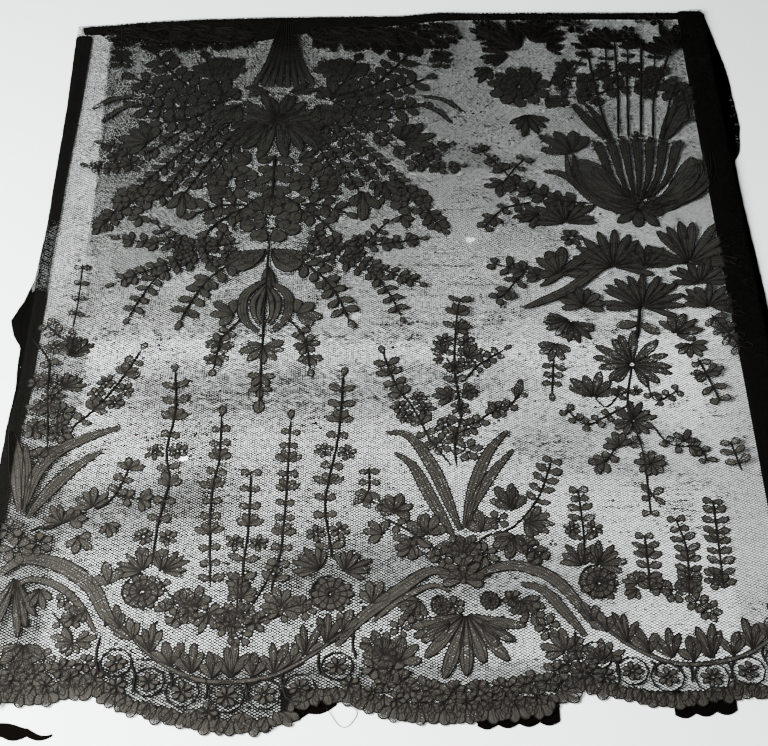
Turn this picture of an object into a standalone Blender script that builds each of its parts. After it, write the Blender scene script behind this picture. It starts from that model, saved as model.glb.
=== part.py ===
# A black lace shawl, folded and laid flat on a table with its scalloped hem in front.
# The solids are the stretches of the one cloth that show: the top stretch, the second net that is
# seen through it, the stacks of lower layers along three edges, and the lower hems in front.
# Metres, +Z up, hem towards -Y. The origin is the middle of the underside.
import math

import bmesh
import bpy
import numpy as np
from mathutils import Vector
from mathutils.geometry import delaunay_2d_cdt

# Cloth and gaps
WALL = 0.0010            # thickness that every single stretch of cloth gets
GAP = 0.0003             # clearance between two pieces that touch
# The layers of a stack, lowest first: each reaches a share of the way from the fold above it to
# the stack's lowest edge, or stays an inset behind the fold
# Columns: share, inset
LAYER_ROWS = (
    (1.00, 0.0000),
    (0.40, 0.0000),
    (0.00, 0.0008),
    (0.00, 0.0019),
)
# The rounded edge of one layer, from its top down, as shares of its thickness
# Columns: back, up
LAYER_EDGE = (
    (0.45, 1.00),
    (0.00, 0.62),
    (0.12, 0.25),
)
LAYER_NOTCH = 0.73       # how far back the notch between two layers lies, in thicknesses
LAYER_FOOT = 0.40        # the same for the lowest layer's edge on the table
STACK_CHAMFER = 0.0012   # softening of a stack's inner side
FOLD_RADIUS = 0.0022     # inside radius where the top stretch turns down at a fold
FOLD_DROP = 0.0016       # how far the turned edge comes down

# Heights of the stacks of lower layers
LEFT_HEIGHT = 0.0040
BACK_HEIGHT = 0.0048
RIGHT_HEIGHT = 0.0052

# How the top stretch comes down from a stack to the table
SHELF = 0.010            # level cloth past a stack's inner edge
SLOPE = 0.038            # length of the slope down to the table
NET_SHELF = 0.006        # the same two for the second stretch and the lower hems
NET_SLOPE = 0.022

# The scalloped hem: each row is a place on the big scallops, before the small lobes are added
HEM_COLUMNS = ("x", "y")
HEM = (
    (-0.3180, -0.3735),
    (-0.2950, -0.3785),
    (-0.2540, -0.3795),
    (-0.2270, -0.3700),
    (-0.1850, -0.3870),
    (-0.1490, -0.3970),
    (-0.1290, -0.4015),
    (-0.0900, -0.4005),
    (-0.0700, -0.3800),
    (-0.0480, -0.3760),
    (-0.0340, -0.3785),
    (0.0050, -0.3930),
    (0.0400, -0.3930),
    (0.0920, -0.3890),
    (0.1120, -0.3860),
    (0.1200, -0.3740),
    (0.1310, -0.3665),
    (0.1740, -0.3775),
    (0.1950, -0.3815),
    (0.2345, -0.3755),
    (0.2425, -0.3710),
    (0.2650, -0.3740),
    (0.2900, -0.3790),
    (0.3180, -0.3740),
)
LOBE_PITCH = 0.0168      # width of one small lobe of the edge
LOBE_DEPTH = 0.0032
LOBE_STEPS = 5           # outline points to a lobe

# The folds of the top stretch, seen from above
LEFT_COLUMNS = ("y", "fold", "inner", "lowest")
LEFT = (
    (-0.3600, -0.3150, -0.3040, -0.3160),
    (-0.2500, -0.3155, -0.3045, -0.3165),
    (-0.1300, -0.3150, -0.3040, -0.3175),
    (-0.0900, -0.3120, -0.3020, -0.3160),
    (-0.0430, -0.3130, -0.3030, -0.3190),
    (-0.0310, -0.3130, -0.3030, -0.3260),
    (-0.0135, -0.3130, -0.3030, -0.3310),
    (0.0080, -0.3130, -0.3030, -0.3230),
    (0.0335, -0.3140, -0.3040, -0.3170),
    (0.1000, -0.3140, -0.3040, -0.3150),
    (0.1600, -0.3145, -0.3045, -0.3160),
    (0.2700, -0.3160, -0.3030, -0.3175),
    (0.3600, -0.3190, -0.3040, -0.3210),
)
RIGHT_COLUMNS = ("y", "fold", "inner", "lowest")
RIGHT = (
    (-0.3600, 0.3160, 0.2990, 0.3175),
    (-0.2400, 0.3160, 0.2990, 0.3180),
    (-0.1000, 0.3160, 0.2985, 0.3195),
    (0.0100, 0.3160, 0.2980, 0.3225),
    (0.0900, 0.3160, 0.2980, 0.3205),
    (0.1450, 0.3160, 0.2980, 0.3190),
    (0.1850, 0.3160, 0.2980, 0.3195),
    (0.1980, 0.3160, 0.2980, 0.3260),
    (0.2345, 0.3160, 0.2980, 0.3310),
    (0.3155, 0.3160, 0.2980, 0.3290),
    (0.3700, 0.3160, 0.2980, 0.3220),
    (0.4000, 0.3150, 0.2985, 0.3180),
)
BACK_COLUMNS = ("x", "fold", "inner", "lowest")
BACK = (
    (-0.3190, 0.3790, 0.3690, 0.3805),
    (-0.2860, 0.3820, 0.3700, 0.3835),
    (-0.2590, 0.3860, 0.3640, 0.3875),
    (-0.2400, 0.3880, 0.3555, 0.3895),
    (-0.1980, 0.3915, 0.3560, 0.3930),
    (-0.1390, 0.3940, 0.3585, 0.3955),
    (-0.0850, 0.3955, 0.3725, 0.3970),
    (0.0060, 0.3970, 0.3850, 0.3985),
    (0.0470, 0.4030, 0.3920, 0.4050),
    (0.0780, 0.4020, 0.3930, 0.4035),
    (0.1900, 0.4025, 0.3940, 0.4040),
    (0.2900, 0.4030, 0.3940, 0.4045),
    (0.3030, 0.4062, 0.3940, 0.4070),
)
STEP = 0.018             # distance between stations along an edge
END_CLEAR = 0.0026       # how far a stack's end stays behind the fold that turns down round it

# The second stretch of net: its left edge, and where it ends in front
SECOND_LEFT_COLUMNS = ("y", "x")
SECOND_LEFT = (
    (-0.0080, -0.2660),
    (0.0700, -0.2740),
    (0.1325, -0.2750),
    (0.2700, -0.2810),
    (0.3600, -0.2850),
)
SECOND_FRONT = -0.0080
SECOND_FRONT_SWAY = 0.006
SECOND_FRONT_WAVES = (11.0, 27.0)
SECOND_FRONT_POINTS = 25
SECOND_SIDE_POINTS = 10
SECOND_SIDE = (0.020, 0.345)
SECOND_MARGIN = 0.0012   # clearance in plan to the stacks round it

# The lower hems: how far each runs and where its edge and its tucked side lie
# Columns: name, left end, right end, edge at the left, edge at the right, tucked side
LOWER_HEMS = (
    ("hem_left", -0.3160, -0.2440, -0.4040, -0.4035, -0.3930),
    ("hem_middle", -0.0840, -0.0440, -0.3925, -0.3790, -0.3660),
    ("hem_centre", 0.0560, 0.1150, -0.3955, -0.3915, -0.3720),
    ("hem_right", 0.1970, 0.2420, -0.3870, -0.3830, -0.3680),
)
HEM_LEFT_HEEL = 0.0240   # length of the left hem's end that reaches back under the top stretch
HEM_LEFT_HEEL_Y = -0.3603

# Two rips in the net
# Columns: x, y, half width, half depth, turn
RIPS = (
    (0.0670, 0.0815, 0.0046, 0.0036, 0.4),
    (-0.1710, -0.1595, 0.0042, 0.0034, 2.0),
)
RIP_POINTS = 12
RIP_UNEVEN = 0.16

# Soft ridges that run across the top stretch
# Columns: x, y, half length, half width, height, turn
RIDGES = (
    (-0.1500, 0.2600, 0.1400, 0.0240, 0.0011, -0.06),
    (0.1400, 0.1900, 0.1300, 0.0260, 0.0014, 0.10),
    (-0.1900, 0.0500, 0.0950, 0.0220, 0.0016, -0.12),
    (0.1100, 0.0100, 0.1500, 0.0280, 0.0018, 0.05),
    (-0.0600, -0.0900, 0.1700, 0.0260, 0.0015, 0.03),
    (0.1900, -0.1500, 0.0900, 0.0240, 0.0017, -0.16),
    (-0.2100, -0.2100, 0.0800, 0.0230, 0.0013, 0.22),
    (0.0300, -0.2700, 0.1300, 0.0250, 0.0012, -0.04),
)
GRID = 0.033             # spacing of the points inside the top stretch
NEAR_FOLD = (0.0004, 0.0011, 0.0022, 0.0060)
CORNER_CLEAR = 0.010     # room that rows along one edge leave at a corner
SIDE_FRONT = 0.007       # how far the folds' rows run on in front of the stacks
FIELD_ROOM = 0.0095      # room that other inner points leave to a fold, the hem and the rips
HEM_ROOM = 0.0040
RIP_ROOM = 0.0080
POINT_ROOM = 0.0003      # points closer than this are one


def table(rows, columns):
    """Reads a table into one array for each named column."""
    return {name: np.array([row[i] for row in rows], dtype=float) for i, name in enumerate(columns)}


LEFT_TABLE = table(LEFT, LEFT_COLUMNS)
RIGHT_TABLE = table(RIGHT, RIGHT_COLUMNS)
BACK_TABLE = table(BACK, BACK_COLUMNS)
HEM_TABLE = table(HEM, HEM_COLUMNS)
SECOND_TABLE = table(SECOND_LEFT, SECOND_LEFT_COLUMNS)


def hem_y(x):
    """The hem: big scallops from the table, and small lobes as the arches of a sine."""
    lobe = abs(math.sin(math.pi * x / LOBE_PITCH))
    return float(np.interp(x, HEM_TABLE["x"], HEM_TABLE["y"])) - LOBE_DEPTH * lobe


def side(rows, along, across, column):
    """A side's fold, inner or lowest edge at a place along it."""
    return float(np.interp(along, rows[across], rows[column]))


def left_at(y, column):
    return side(LEFT_TABLE, y, "y", column)


def right_at(y, column):
    return side(RIGHT_TABLE, y, "y", column)


def back_at(x, column):
    return side(BACK_TABLE, x, "x", column)


def smooth(t):
    """Rises softly from 0 to 1."""
    t = min(max(t, 0.0), 1.0)
    return t * t * (3 - 2 * t)


def shelf(distance, height, level, slope):
    """Height of cloth at a distance past an edge that holds it up."""
    return height * (1 - smooth((distance - level) / slope))


def ridges(x, y):
    """The soft ridges: each is a bell across its width, fading out along its length."""
    total = 0.0
    for row in RIDGES:
        cx, cy, length, width, height, turn = row
        dx, dy = x - cx, y - cy
        along = dx * math.cos(turn) + dy * math.sin(turn)
        across = -dx * math.sin(turn) + dy * math.cos(turn)
        total += height * math.exp(-((across / width) ** 2) - (along / length) ** 4)
    return total


def second_distance(x, y):
    """How far a place lies outside the second stretch, 0 on it."""
    out_left = float(np.interp(y, SECOND_TABLE["y"], SECOND_TABLE["x"])) - x
    out_front = SECOND_FRONT - SECOND_FRONT_SWAY - y
    return max(out_left, out_front, 0.0)


def hem_distance(x, y):
    """How far a place lies behind the lower hems' tucked sides."""
    return max(y - max(row[-1] for row in LOWER_HEMS[1:]), 0.0)


def underside(x, y):
    """Height of the top stretch's underside: on the table, on the nets below, or on a stack."""
    held = (
        shelf(x - left_at(y, "inner"), LEFT_HEIGHT + GAP, SHELF, SLOPE),
        shelf(right_at(y, "inner") - x, RIGHT_HEIGHT + GAP, SHELF, SLOPE),
        shelf(back_at(x, "inner") - y, BACK_HEIGHT + GAP, SHELF, SLOPE),
        shelf(second_distance(x, y), WALL + GAP, NET_SHELF, NET_SLOPE),
        shelf(hem_distance(x, y), WALL + GAP, NET_SHELF, NET_SLOPE),
    )
    return max(held) + ridges(x, y)


def turned_down(distance):
    """Drop of the top stretch near a fold, a quarter round of the fold's radius."""
    reach = FOLD_RADIUS
    if distance >= reach:
        return 0.0
    inward = (reach - distance) / reach
    return min(reach * (1 - math.sqrt(max(1 - inward * inward, 0.0))), FOLD_DROP)


def fold_distance(x, y):
    """Distance from the nearest of the three folds."""
    return max(min(x - left_at(y, "fold"), right_at(y, "fold") - x, back_at(x, "fold") - y), 0.0)


def surface_z(x, y):
    return underside(x, y) - turned_down(fold_distance(x, y))


def inside(point, outline):
    """True where a place lies inside a closed outline, by counting crossings."""
    x, y = point
    xs, ys = outline[:, 0], outline[:, 1]
    xn, yn = np.roll(xs, -1), np.roll(ys, -1)
    crosses = (ys > y) != (yn > y)
    span = np.where(crosses, yn - ys, 1.0)
    return bool(np.count_nonzero(crosses & (x < xs + (y - ys) / span * (xn - xs))) % 2)


def filled(outline, points, holes):
    """Triangles over an outline that use the given inner points and leave the holes out."""
    loops = [outline] + holes
    verts, edges = [], []
    for loop in loops:
        first = len(verts)
        count = len(loop)
        verts += [Vector(p) for p in loop]
        edges += [(first + i, first + (i + 1) % count) for i in range(count)]
    verts += [Vector(p) for p in points]
    places, _, faces, _, _, _ = delaunay_2d_cdt(verts, edges, [], 0, 1e-7)
    outline = np.array(outline)
    holes = [np.array(h) for h in holes]
    kept = []
    for face in faces:
        middle = np.mean([places[i] for i in face], axis=0)
        if inside(middle, outline) and not any(inside(middle, h) for h in holes):
            kept.append(tuple(face))
    return places, kept


def cloth_material(name, colour, roughness):
    material = bpy.data.materials.new(name)
    material.use_nodes = True
    shader = material.node_tree.nodes["Principled BSDF"]
    shader.inputs["Base Color"].default_value = (*colour, 1.0)
    shader.inputs["Roughness"].default_value = roughness
    shader.inputs["Metallic"].default_value = 0.0
    return material


def add_object(name, mesh, material, collection):
    mesh.materials.append(material)
    thing = bpy.data.objects.new(name, mesh)
    collection.objects.link(thing)
    return thing


def sheet(name, outline, points, holes, height, material, collection):
    """A stretch of cloth: its underside as an open surface, thickened upwards by Solidify."""
    places, faces = filled(outline, points, holes)
    mesh = bpy.data.meshes.new(name)
    used = sorted({i for face in faces for i in face})
    index = {old: new for new, old in enumerate(used)}
    coords = [(places[i][0], places[i][1], height(places[i][0], places[i][1])) for i in used]
    mesh.from_pydata(coords, [], [[index[i] for i in face] for face in faces])
    form = bmesh.new()
    form.from_mesh(mesh)
    for face in form.faces:
        if face.normal.z < 0:
            face.normal_flip()
    form.to_mesh(mesh)
    form.free()
    thing = add_object(name, mesh, material, collection)
    wall = thing.modifiers.new("Wall", "SOLIDIFY")
    wall.thickness = WALL
    wall.offset = 1.0
    wall.use_even_offset = False
    return thing


def hem_points(x0, x1):
    """Points along the hem, a few to each lobe, with one at each notch between lobes."""
    step = LOBE_PITCH / LOBE_STEPS
    first = math.ceil(x0 / step + 0.3)
    last = math.floor(x1 / step - 0.3)
    inner = [i * step for i in range(first, last + 1)]
    return [(x, hem_y(x)) for x in [x0] + inner + [x1]]


def stations(knots, start, stop):
    """Places along an edge: every row of its table, and even steps between them."""
    inner = [float(k) for k in knots if start < k < stop]
    marks = [start] + inner + [stop]
    places = []
    for low, high in zip(marks, marks[1:]):
        count = max(math.ceil((high - low) / STEP), 1)
        places += [low + (high - low) * i / count for i in range(count)]
    return places + [stop]


def corner(side_at):
    """Where a side's fold meets the back fold."""
    x = side_at(1.0, "fold")
    return x, back_at(x, "fold")


def edge_stations():
    """Stations of the left, right and back folds, clear of the hem and of the corners."""
    front = LEFT_TABLE["y"][0] - SIDE_FRONT
    left_x, left_y = corner(left_at)
    right_x, right_y = corner(right_at)
    left = stations(LEFT_TABLE["y"], front, left_y - CORNER_CLEAR)
    right = stations(RIGHT_TABLE["y"], front, right_y - CORNER_CLEAR)
    back = stations(BACK_TABLE["x"], left_x + CORNER_CLEAR, right_x - CORNER_CLEAR)
    return left, right, back


def top_outline():
    """The top stretch from above: hem, right fold, back fold and left fold."""
    left, right, back = edge_stations()
    loop = hem_points(left_at(-1.0, "fold"), right_at(-1.0, "fold"))
    loop += [(right_at(y, "fold"), y) for y in right]
    loop.append(corner(right_at))
    loop += [(x, back_at(x, "fold")) for x in reversed(back)]
    loop.append(corner(left_at))
    loop += [(left_at(y, "fold"), y) for y in reversed(left)]
    return loop


def rip_outline(row):
    """A rip: an oval with an uneven edge."""
    cx, cy, wide, deep, turn = row
    loop = []
    for i in range(RIP_POINTS):
        angle = 2 * math.pi * i / RIP_POINTS
        uneven = 1 + RIP_UNEVEN * math.sin(3 * angle + turn)
        dx, dy = wide * uneven * math.cos(angle), deep * uneven * math.sin(angle)
        x = cx + dx * math.cos(turn) - dy * math.sin(turn)
        y = cy + dx * math.sin(turn) + dy * math.cos(turn)
        loop.append((x, y))
    return loop


def top_points(outline):
    """Inner points: rows on the stations of the folds, and a plain grid between them."""
    loop = np.array(outline)
    left, right, back = edge_stations()
    past = [0.0, SHELF, SHELF + SLOPE / 2, SHELF + SLOPE]
    rows, field = [], []
    for y in left:
        rows += [(left_at(y, "fold") + d, y) for d in NEAR_FOLD]
        field += [(left_at(y, "inner") + d, y) for d in past]
    for y in right:
        rows += [(right_at(y, "fold") - d, y) for d in NEAR_FOLD]
        field += [(right_at(y, "inner") - d, y) for d in past]
    for x in back:
        rows += [(x, back_at(x, "fold") - d) for d in NEAR_FOLD]
        field += [(x, back_at(x, "inner") - d) for d in past]
    for side_at, inwards in ((left_at, 1.0), (right_at, -1.0)):
        x, y = corner(side_at)
        rows += [(x + inwards * d, y - d) for d in NEAR_FOLD]
    reach = SHELF + SLOPE + GRID / 2
    for x in np.arange(left_at(0.0, "inner") + reach, right_at(0.0, "inner") - reach, GRID):
        for y in np.arange(HEM_TABLE["y"].max() + 0.010, back_at(0.0, "inner") - reach, GRID):
            field.append((float(x), float(y)))
    field = [p for p in field if fold_distance(*p) > FIELD_ROOM]
    kept = []
    for x, y in rows + field:
        clear = all(math.hypot(x - row[0], y - row[1]) > RIP_ROOM for row in RIPS)
        if clear and y > hem_y(x) + HEM_ROOM and inside((x, y), loop):
            kept.append((x, y))
    return kept


def thinned(points, spacing):
    """Leaves out points that crowd an earlier one."""
    kept = []
    for p in points:
        if all((p[0] - q[0]) ** 2 + (p[1] - q[1]) ** 2 > spacing * spacing for q in kept):
            kept.append(p)
    return kept


def second_outline():
    """The second stretch from above: front edge, right and back stacks, and its left edge."""
    left_x = float(np.interp(SECOND_FRONT, SECOND_TABLE["y"], SECOND_TABLE["x"]))
    right_x = right_at(SECOND_FRONT, "inner") - SECOND_MARGIN
    loop = []
    slow, fast = SECOND_FRONT_WAVES
    for x in np.linspace(left_x, right_x, SECOND_FRONT_POINTS):
        sway = SECOND_FRONT_SWAY * math.sin(slow * x) * math.sin(fast * x)
        loop.append((float(x), SECOND_FRONT + sway))
    for y in np.linspace(*SECOND_SIDE, SECOND_SIDE_POINTS):
        loop.append((right_at(y, "inner") - SECOND_MARGIN, float(y)))
    left_corner = float(SECOND_TABLE["x"][-1])
    for x in reversed(stations(BACK_TABLE["x"], left_corner, right_x)):
        loop.append((x, back_at(x, "inner") - SECOND_MARGIN))
    for y in reversed(np.linspace(*SECOND_SIDE, SECOND_SIDE_POINTS)):
        loop.append((float(np.interp(y, SECOND_TABLE["y"], SECOND_TABLE["x"])), float(y)))
    return loop


def lower_hem_outline(row):
    """A lower hem from above: lobes in front, and a straight tucked side behind."""
    name, x0, x1, edge0, edge1, tucked = row
    lobes = max(round((x1 - x0) / LOBE_PITCH), 1)
    steps = lobes * LOBE_STEPS
    loop = []
    for i in range(steps + 1):
        t = i / steps
        lobe = abs(math.sin(math.pi * lobes * t))
        loop.append((x0 + (x1 - x0) * t, edge0 + (edge1 - edge0) * t - LOBE_DEPTH * lobe))
    if name == "hem_left":
        heel = x0 + HEM_LEFT_HEEL
        loop += [(x1, tucked), (heel, tucked), (heel, HEM_LEFT_HEEL_Y), (x0, HEM_LEFT_HEEL_Y)]
    else:
        loop += [(x1, tucked), (x0, tucked)]
    return loop


def layer_section(inner, fold, lowest, height):
    """One section of a stack, as (across, z): an inner side, and an outer side of rounded layers."""
    outwards = 1.0 if fold > inner else -1.0
    thick = height / len(LAYER_ROWS)
    heel = outwards * STACK_CHAMFER
    section = [(inner + heel, 0.0), (inner, STACK_CHAMFER), (inner + heel, height)]
    for layer in range(len(LAYER_ROWS) - 1, -1, -1):
        share, inset = LAYER_ROWS[layer]
        reach = fold + (lowest - fold) * share - outwards * inset
        base = layer * thick
        for back, up in LAYER_EDGE:
            section.append((reach - outwards * thick * back, base + thick * up))
        if layer:
            section.append((reach - outwards * thick * LAYER_NOTCH, base))
    section.append((lowest - outwards * thick * LAYER_FOOT, 0.0))
    return section


def stack(name, axis, rows, height, start, stop, material, collection):
    """A stack of lower layers: sections along one edge, joined, with both ends closed."""
    form = bmesh.new()
    rings = []
    for along in stations(rows[axis], start, stop):
        fold = side(rows, along, axis, "fold")
        inner = side(rows, along, axis, "inner")
        lowest = side(rows, along, axis, "lowest")
        ring = []
        for reach, z in layer_section(inner, fold, lowest, height):
            place = (reach, along, z) if axis == "y" else (along, reach, z)
            ring.append(form.verts.new(place))
        rings.append(ring)
    size = len(rings[0])
    for a, b in zip(rings, rings[1:]):
        for j in range(size):
            k = (j + 1) % size
            form.faces.new((a[j], a[k], b[k], b[j]))
    form.faces.new(rings[0])
    form.faces.new(list(reversed(rings[-1])))
    bmesh.ops.triangulate(form, faces=form.faces)
    bmesh.ops.recalc_face_normals(form, faces=form.faces)
    mesh = bpy.data.meshes.new(name)
    form.to_mesh(mesh)
    form.free()
    return add_object(name, mesh, material, collection)


def clear_scene():
    for thing in list(bpy.data.objects):
        bpy.data.objects.remove(thing, do_unlink=True)


def build():
    clear_scene()
    shawl = bpy.data.collections.new("folded_lace_shawl")
    bpy.context.scene.collection.children.link(shawl)
    net = cloth_material("lace_net", (0.030, 0.031, 0.028), 0.85)
    under_net = cloth_material("second_net", (0.045, 0.047, 0.044), 0.88)
    layers = cloth_material("stacked_layers", (0.006, 0.006, 0.005), 0.80)
    hems = cloth_material("lower_hems", (0.012, 0.011, 0.010), 0.82)

    outline = top_outline()
    holes = [rip_outline(row) for row in RIPS]
    points = thinned(top_points(outline), POINT_ROOM)
    sheet("top_stretch", outline, points, holes, surface_z, net, shawl)
    sheet("second_stretch", second_outline(), [], [], lambda x, y: 0.0, under_net, shawl)

    left_end, right_end = corner(left_at)[0] + END_CLEAR, right_at(1.0, "inner") - GAP
    stack("back_layers", "x", BACK_TABLE, BACK_HEIGHT, left_end, right_end, layers, shawl)
    left_start = float(LEFT_TABLE["y"][0])
    left_stop = back_at(left_end, "inner") - 2 * GAP
    stack("left_layers", "y", LEFT_TABLE, LEFT_HEIGHT, left_start, left_stop, layers, shawl)
    right_start = float(RIGHT_TABLE["y"][0])
    right_stop = corner(right_at)[1] - END_CLEAR
    stack("right_layers", "y", RIGHT_TABLE, RIGHT_HEIGHT, right_start, right_stop, layers, shawl)

    for row in LOWER_HEMS:
        sheet(row[0], lower_hem_outline(row), [], [], lambda x, y: 0.0, hems, shawl)


build()
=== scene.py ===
# %% [markdown]
# # A folded black lace shawl
# The shawl lies folded on a pale table, its scalloped hem in front. This script dresses the packed
# CAD model: see-through net, flowers and leaves worked into it, a raised thread round every motif,
# and dark stacks of folded layers along three edges.

import bpy
import numpy as np
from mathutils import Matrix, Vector


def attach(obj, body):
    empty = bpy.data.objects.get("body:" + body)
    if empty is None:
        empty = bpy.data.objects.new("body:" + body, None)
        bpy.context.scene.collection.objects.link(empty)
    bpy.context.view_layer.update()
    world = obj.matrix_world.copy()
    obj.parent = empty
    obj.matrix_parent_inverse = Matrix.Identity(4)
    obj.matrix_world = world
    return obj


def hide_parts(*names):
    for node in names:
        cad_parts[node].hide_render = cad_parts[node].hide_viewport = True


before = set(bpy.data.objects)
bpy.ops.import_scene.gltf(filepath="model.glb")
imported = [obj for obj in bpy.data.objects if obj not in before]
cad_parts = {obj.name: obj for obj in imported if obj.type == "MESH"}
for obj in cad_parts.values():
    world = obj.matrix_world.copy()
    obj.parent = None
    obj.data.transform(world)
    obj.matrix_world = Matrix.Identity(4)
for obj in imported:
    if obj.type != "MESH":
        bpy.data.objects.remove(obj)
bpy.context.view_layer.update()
print("nodes:", ", ".join(sorted(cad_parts)))

# %% [markdown]
# The cloth lies on the CAD solids, so the script needs their sizes again. Each table gives one edge
# of the packet. The hem's rows are the big scallops.

# %% Sizes of the packet, in metres
WALL = 0.0010            # wall of each CAD stretch
GAP = 0.0003
FOLD_RADIUS = 0.0022
FOLD_DROP = 0.0016
LEFT_HEIGHT = 0.0040
BACK_HEIGHT = 0.0048
RIGHT_HEIGHT = 0.0052
SHELF, SLOPE = 0.010, 0.038
NET_SHELF, NET_SLOPE = 0.006, 0.022
LOBE_PITCH = 0.0168
LOBE_DEPTH = 0.0032

# Columns: x, y
HEM = np.array((
    (-0.3180, -0.3735), (-0.2950, -0.3785), (-0.2540, -0.3795), (-0.2270, -0.3700),
    (-0.1850, -0.3870), (-0.1490, -0.3970), (-0.1290, -0.4015), (-0.0900, -0.4005),
    (-0.0700, -0.3800), (-0.0480, -0.3760), (-0.0340, -0.3785), (0.0050, -0.3930),
    (0.0400, -0.3930), (0.0920, -0.3890), (0.1120, -0.3860), (0.1200, -0.3740),
    (0.1310, -0.3665), (0.1740, -0.3775), (0.1950, -0.3815), (0.2345, -0.3755),
    (0.2425, -0.3710), (0.2650, -0.3740), (0.2900, -0.3790), (0.3180, -0.3740),
))
# Columns: place along the edge, fold, inner side of the stack, its lowest edge
FOLD, INNER, LOWEST = 1, 2, 3
LEFT = np.array((
    (-0.3600, -0.3150, -0.3040, -0.3160), (-0.2500, -0.3155, -0.3045, -0.3165),
    (-0.1300, -0.3150, -0.3040, -0.3175), (-0.0900, -0.3120, -0.3020, -0.3160),
    (-0.0430, -0.3130, -0.3030, -0.3190), (-0.0310, -0.3130, -0.3030, -0.3260),
    (-0.0135, -0.3130, -0.3030, -0.3310), (0.0080, -0.3130, -0.3030, -0.3230),
    (0.0335, -0.3140, -0.3040, -0.3170), (0.1000, -0.3140, -0.3040, -0.3150),
    (0.1600, -0.3145, -0.3045, -0.3160), (0.2700, -0.3160, -0.3030, -0.3175),
    (0.3600, -0.3190, -0.3040, -0.3210),
))
RIGHT = np.array((
    (-0.3600, 0.3160, 0.2990, 0.3175), (-0.2400, 0.3160, 0.2990, 0.3180),
    (-0.1000, 0.3160, 0.2985, 0.3195), (0.0100, 0.3160, 0.2980, 0.3225),
    (0.0900, 0.3160, 0.2980, 0.3205), (0.1450, 0.3160, 0.2980, 0.3190),
    (0.1850, 0.3160, 0.2980, 0.3195), (0.1980, 0.3160, 0.2980, 0.3260),
    (0.2345, 0.3160, 0.2980, 0.3310), (0.3155, 0.3160, 0.2980, 0.3290),
    (0.3700, 0.3160, 0.2980, 0.3220), (0.4000, 0.3150, 0.2985, 0.3180),
))
BACK = np.array((
    (-0.3190, 0.3790, 0.3690, 0.3805), (-0.2860, 0.3820, 0.3700, 0.3835),
    (-0.2590, 0.3860, 0.3640, 0.3875), (-0.2400, 0.3880, 0.3555, 0.3895),
    (-0.1980, 0.3915, 0.3560, 0.3930), (-0.1390, 0.3940, 0.3585, 0.3955),
    (-0.0850, 0.3955, 0.3725, 0.3970), (0.0060, 0.3970, 0.3850, 0.3985),
    (0.0470, 0.4030, 0.3920, 0.4050), (0.0780, 0.4020, 0.3930, 0.4035),
    (0.1900, 0.4025, 0.3940, 0.4040), (0.2900, 0.4030, 0.3940, 0.4045),
    (0.3030, 0.4062, 0.3940, 0.4070),
))
# Columns: y, x
SECOND_LEFT = np.array((
    (-0.0080, -0.2660), (0.0700, -0.2740), (0.1325, -0.2750), (0.2700, -0.2810),
    (0.3600, -0.2850),
))
SECOND_FRONT, SECOND_SWAY = -0.0080, 0.006
# Columns: name, left end, right end, edge at the left, edge at the right, tucked side
LOWER_HEMS = (
    ("hem_left", -0.3160, -0.2440, -0.4040, -0.4035, -0.3930),
    ("hem_middle", -0.0840, -0.0440, -0.3925, -0.3790, -0.3660),
    ("hem_centre", 0.0560, 0.1150, -0.3955, -0.3915, -0.3720),
    ("hem_right", 0.1970, 0.2420, -0.3870, -0.3830, -0.3680),
)
# Columns: x, y, half width, half depth, turn
RIPS = (
    (0.0670, 0.0815, 0.0046, 0.0036, 0.4),
    (-0.1710, -0.1595, 0.0042, 0.0034, 2.0),
)
# Columns: x, y, half length, half width, height, turn
RIDGES = (
    (-0.1500, 0.2600, 0.1400, 0.0240, 0.0011, -0.06),
    (0.1400, 0.1900, 0.1300, 0.0260, 0.0014, 0.10),
    (-0.1900, 0.0500, 0.0950, 0.0220, 0.0016, -0.12),
    (0.1100, 0.0100, 0.1500, 0.0280, 0.0018, 0.05),
    (-0.0600, -0.0900, 0.1700, 0.0260, 0.0010, 0.03),
    (0.1900, -0.1500, 0.0900, 0.0240, 0.0017, -0.16),
    (-0.2100, -0.2100, 0.0800, 0.0230, 0.0008, 0.22),
    (0.0300, -0.2700, 0.1300, 0.0250, 0.0012, -0.04),
)
print("hem rows:", len(HEM), "ridges:", len(RIDGES))

# %% [markdown]
# ## How high the cloth lies
# The net lies on the table in the middle and climbs softly onto the stacks at the edges. The height
# is one function of x and y, for whole arrays at once. Everything worked into the net asks it for
# its own height, so a leaf follows the cloth over a crease by itself.


# %% Height of the cloth
def edge(table, along, column):
    """One edge of the packet at places along it, straight between the table's rows."""
    return np.interp(along, table[:, 0], table[:, column])


def hem_at(x):
    """y of the hem, straight between the table's rows."""
    return np.interp(x, HEM[:, 0], HEM[:, 1])


def soft(t):
    """Rises from 0 to 1 as three t squared less two t cubed."""
    t = np.clip(t, 0, 1)
    return t * t * (3 - 2 * t)


def shelf(distance, height, level, slope):
    """The full height as far as the level reaches, then a soft slope down to 0."""
    return height * (1 - soft((distance - level) / slope))


def ridge_height(x, y, rows):
    """Sum of bells: exp(-(across / half width) squared - (along / half length) to the 4th)."""
    total = np.zeros(np.broadcast(x, y).shape)
    for cx, cy, length, width, height, turn in rows:
        along = (x - cx) * np.cos(turn) + (y - cy) * np.sin(turn)
        across = (y - cy) * np.cos(turn) - (x - cx) * np.sin(turn)
        total = total + height * np.exp(-((across / width) ** 2) - (along / length) ** 4)
    return total


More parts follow.
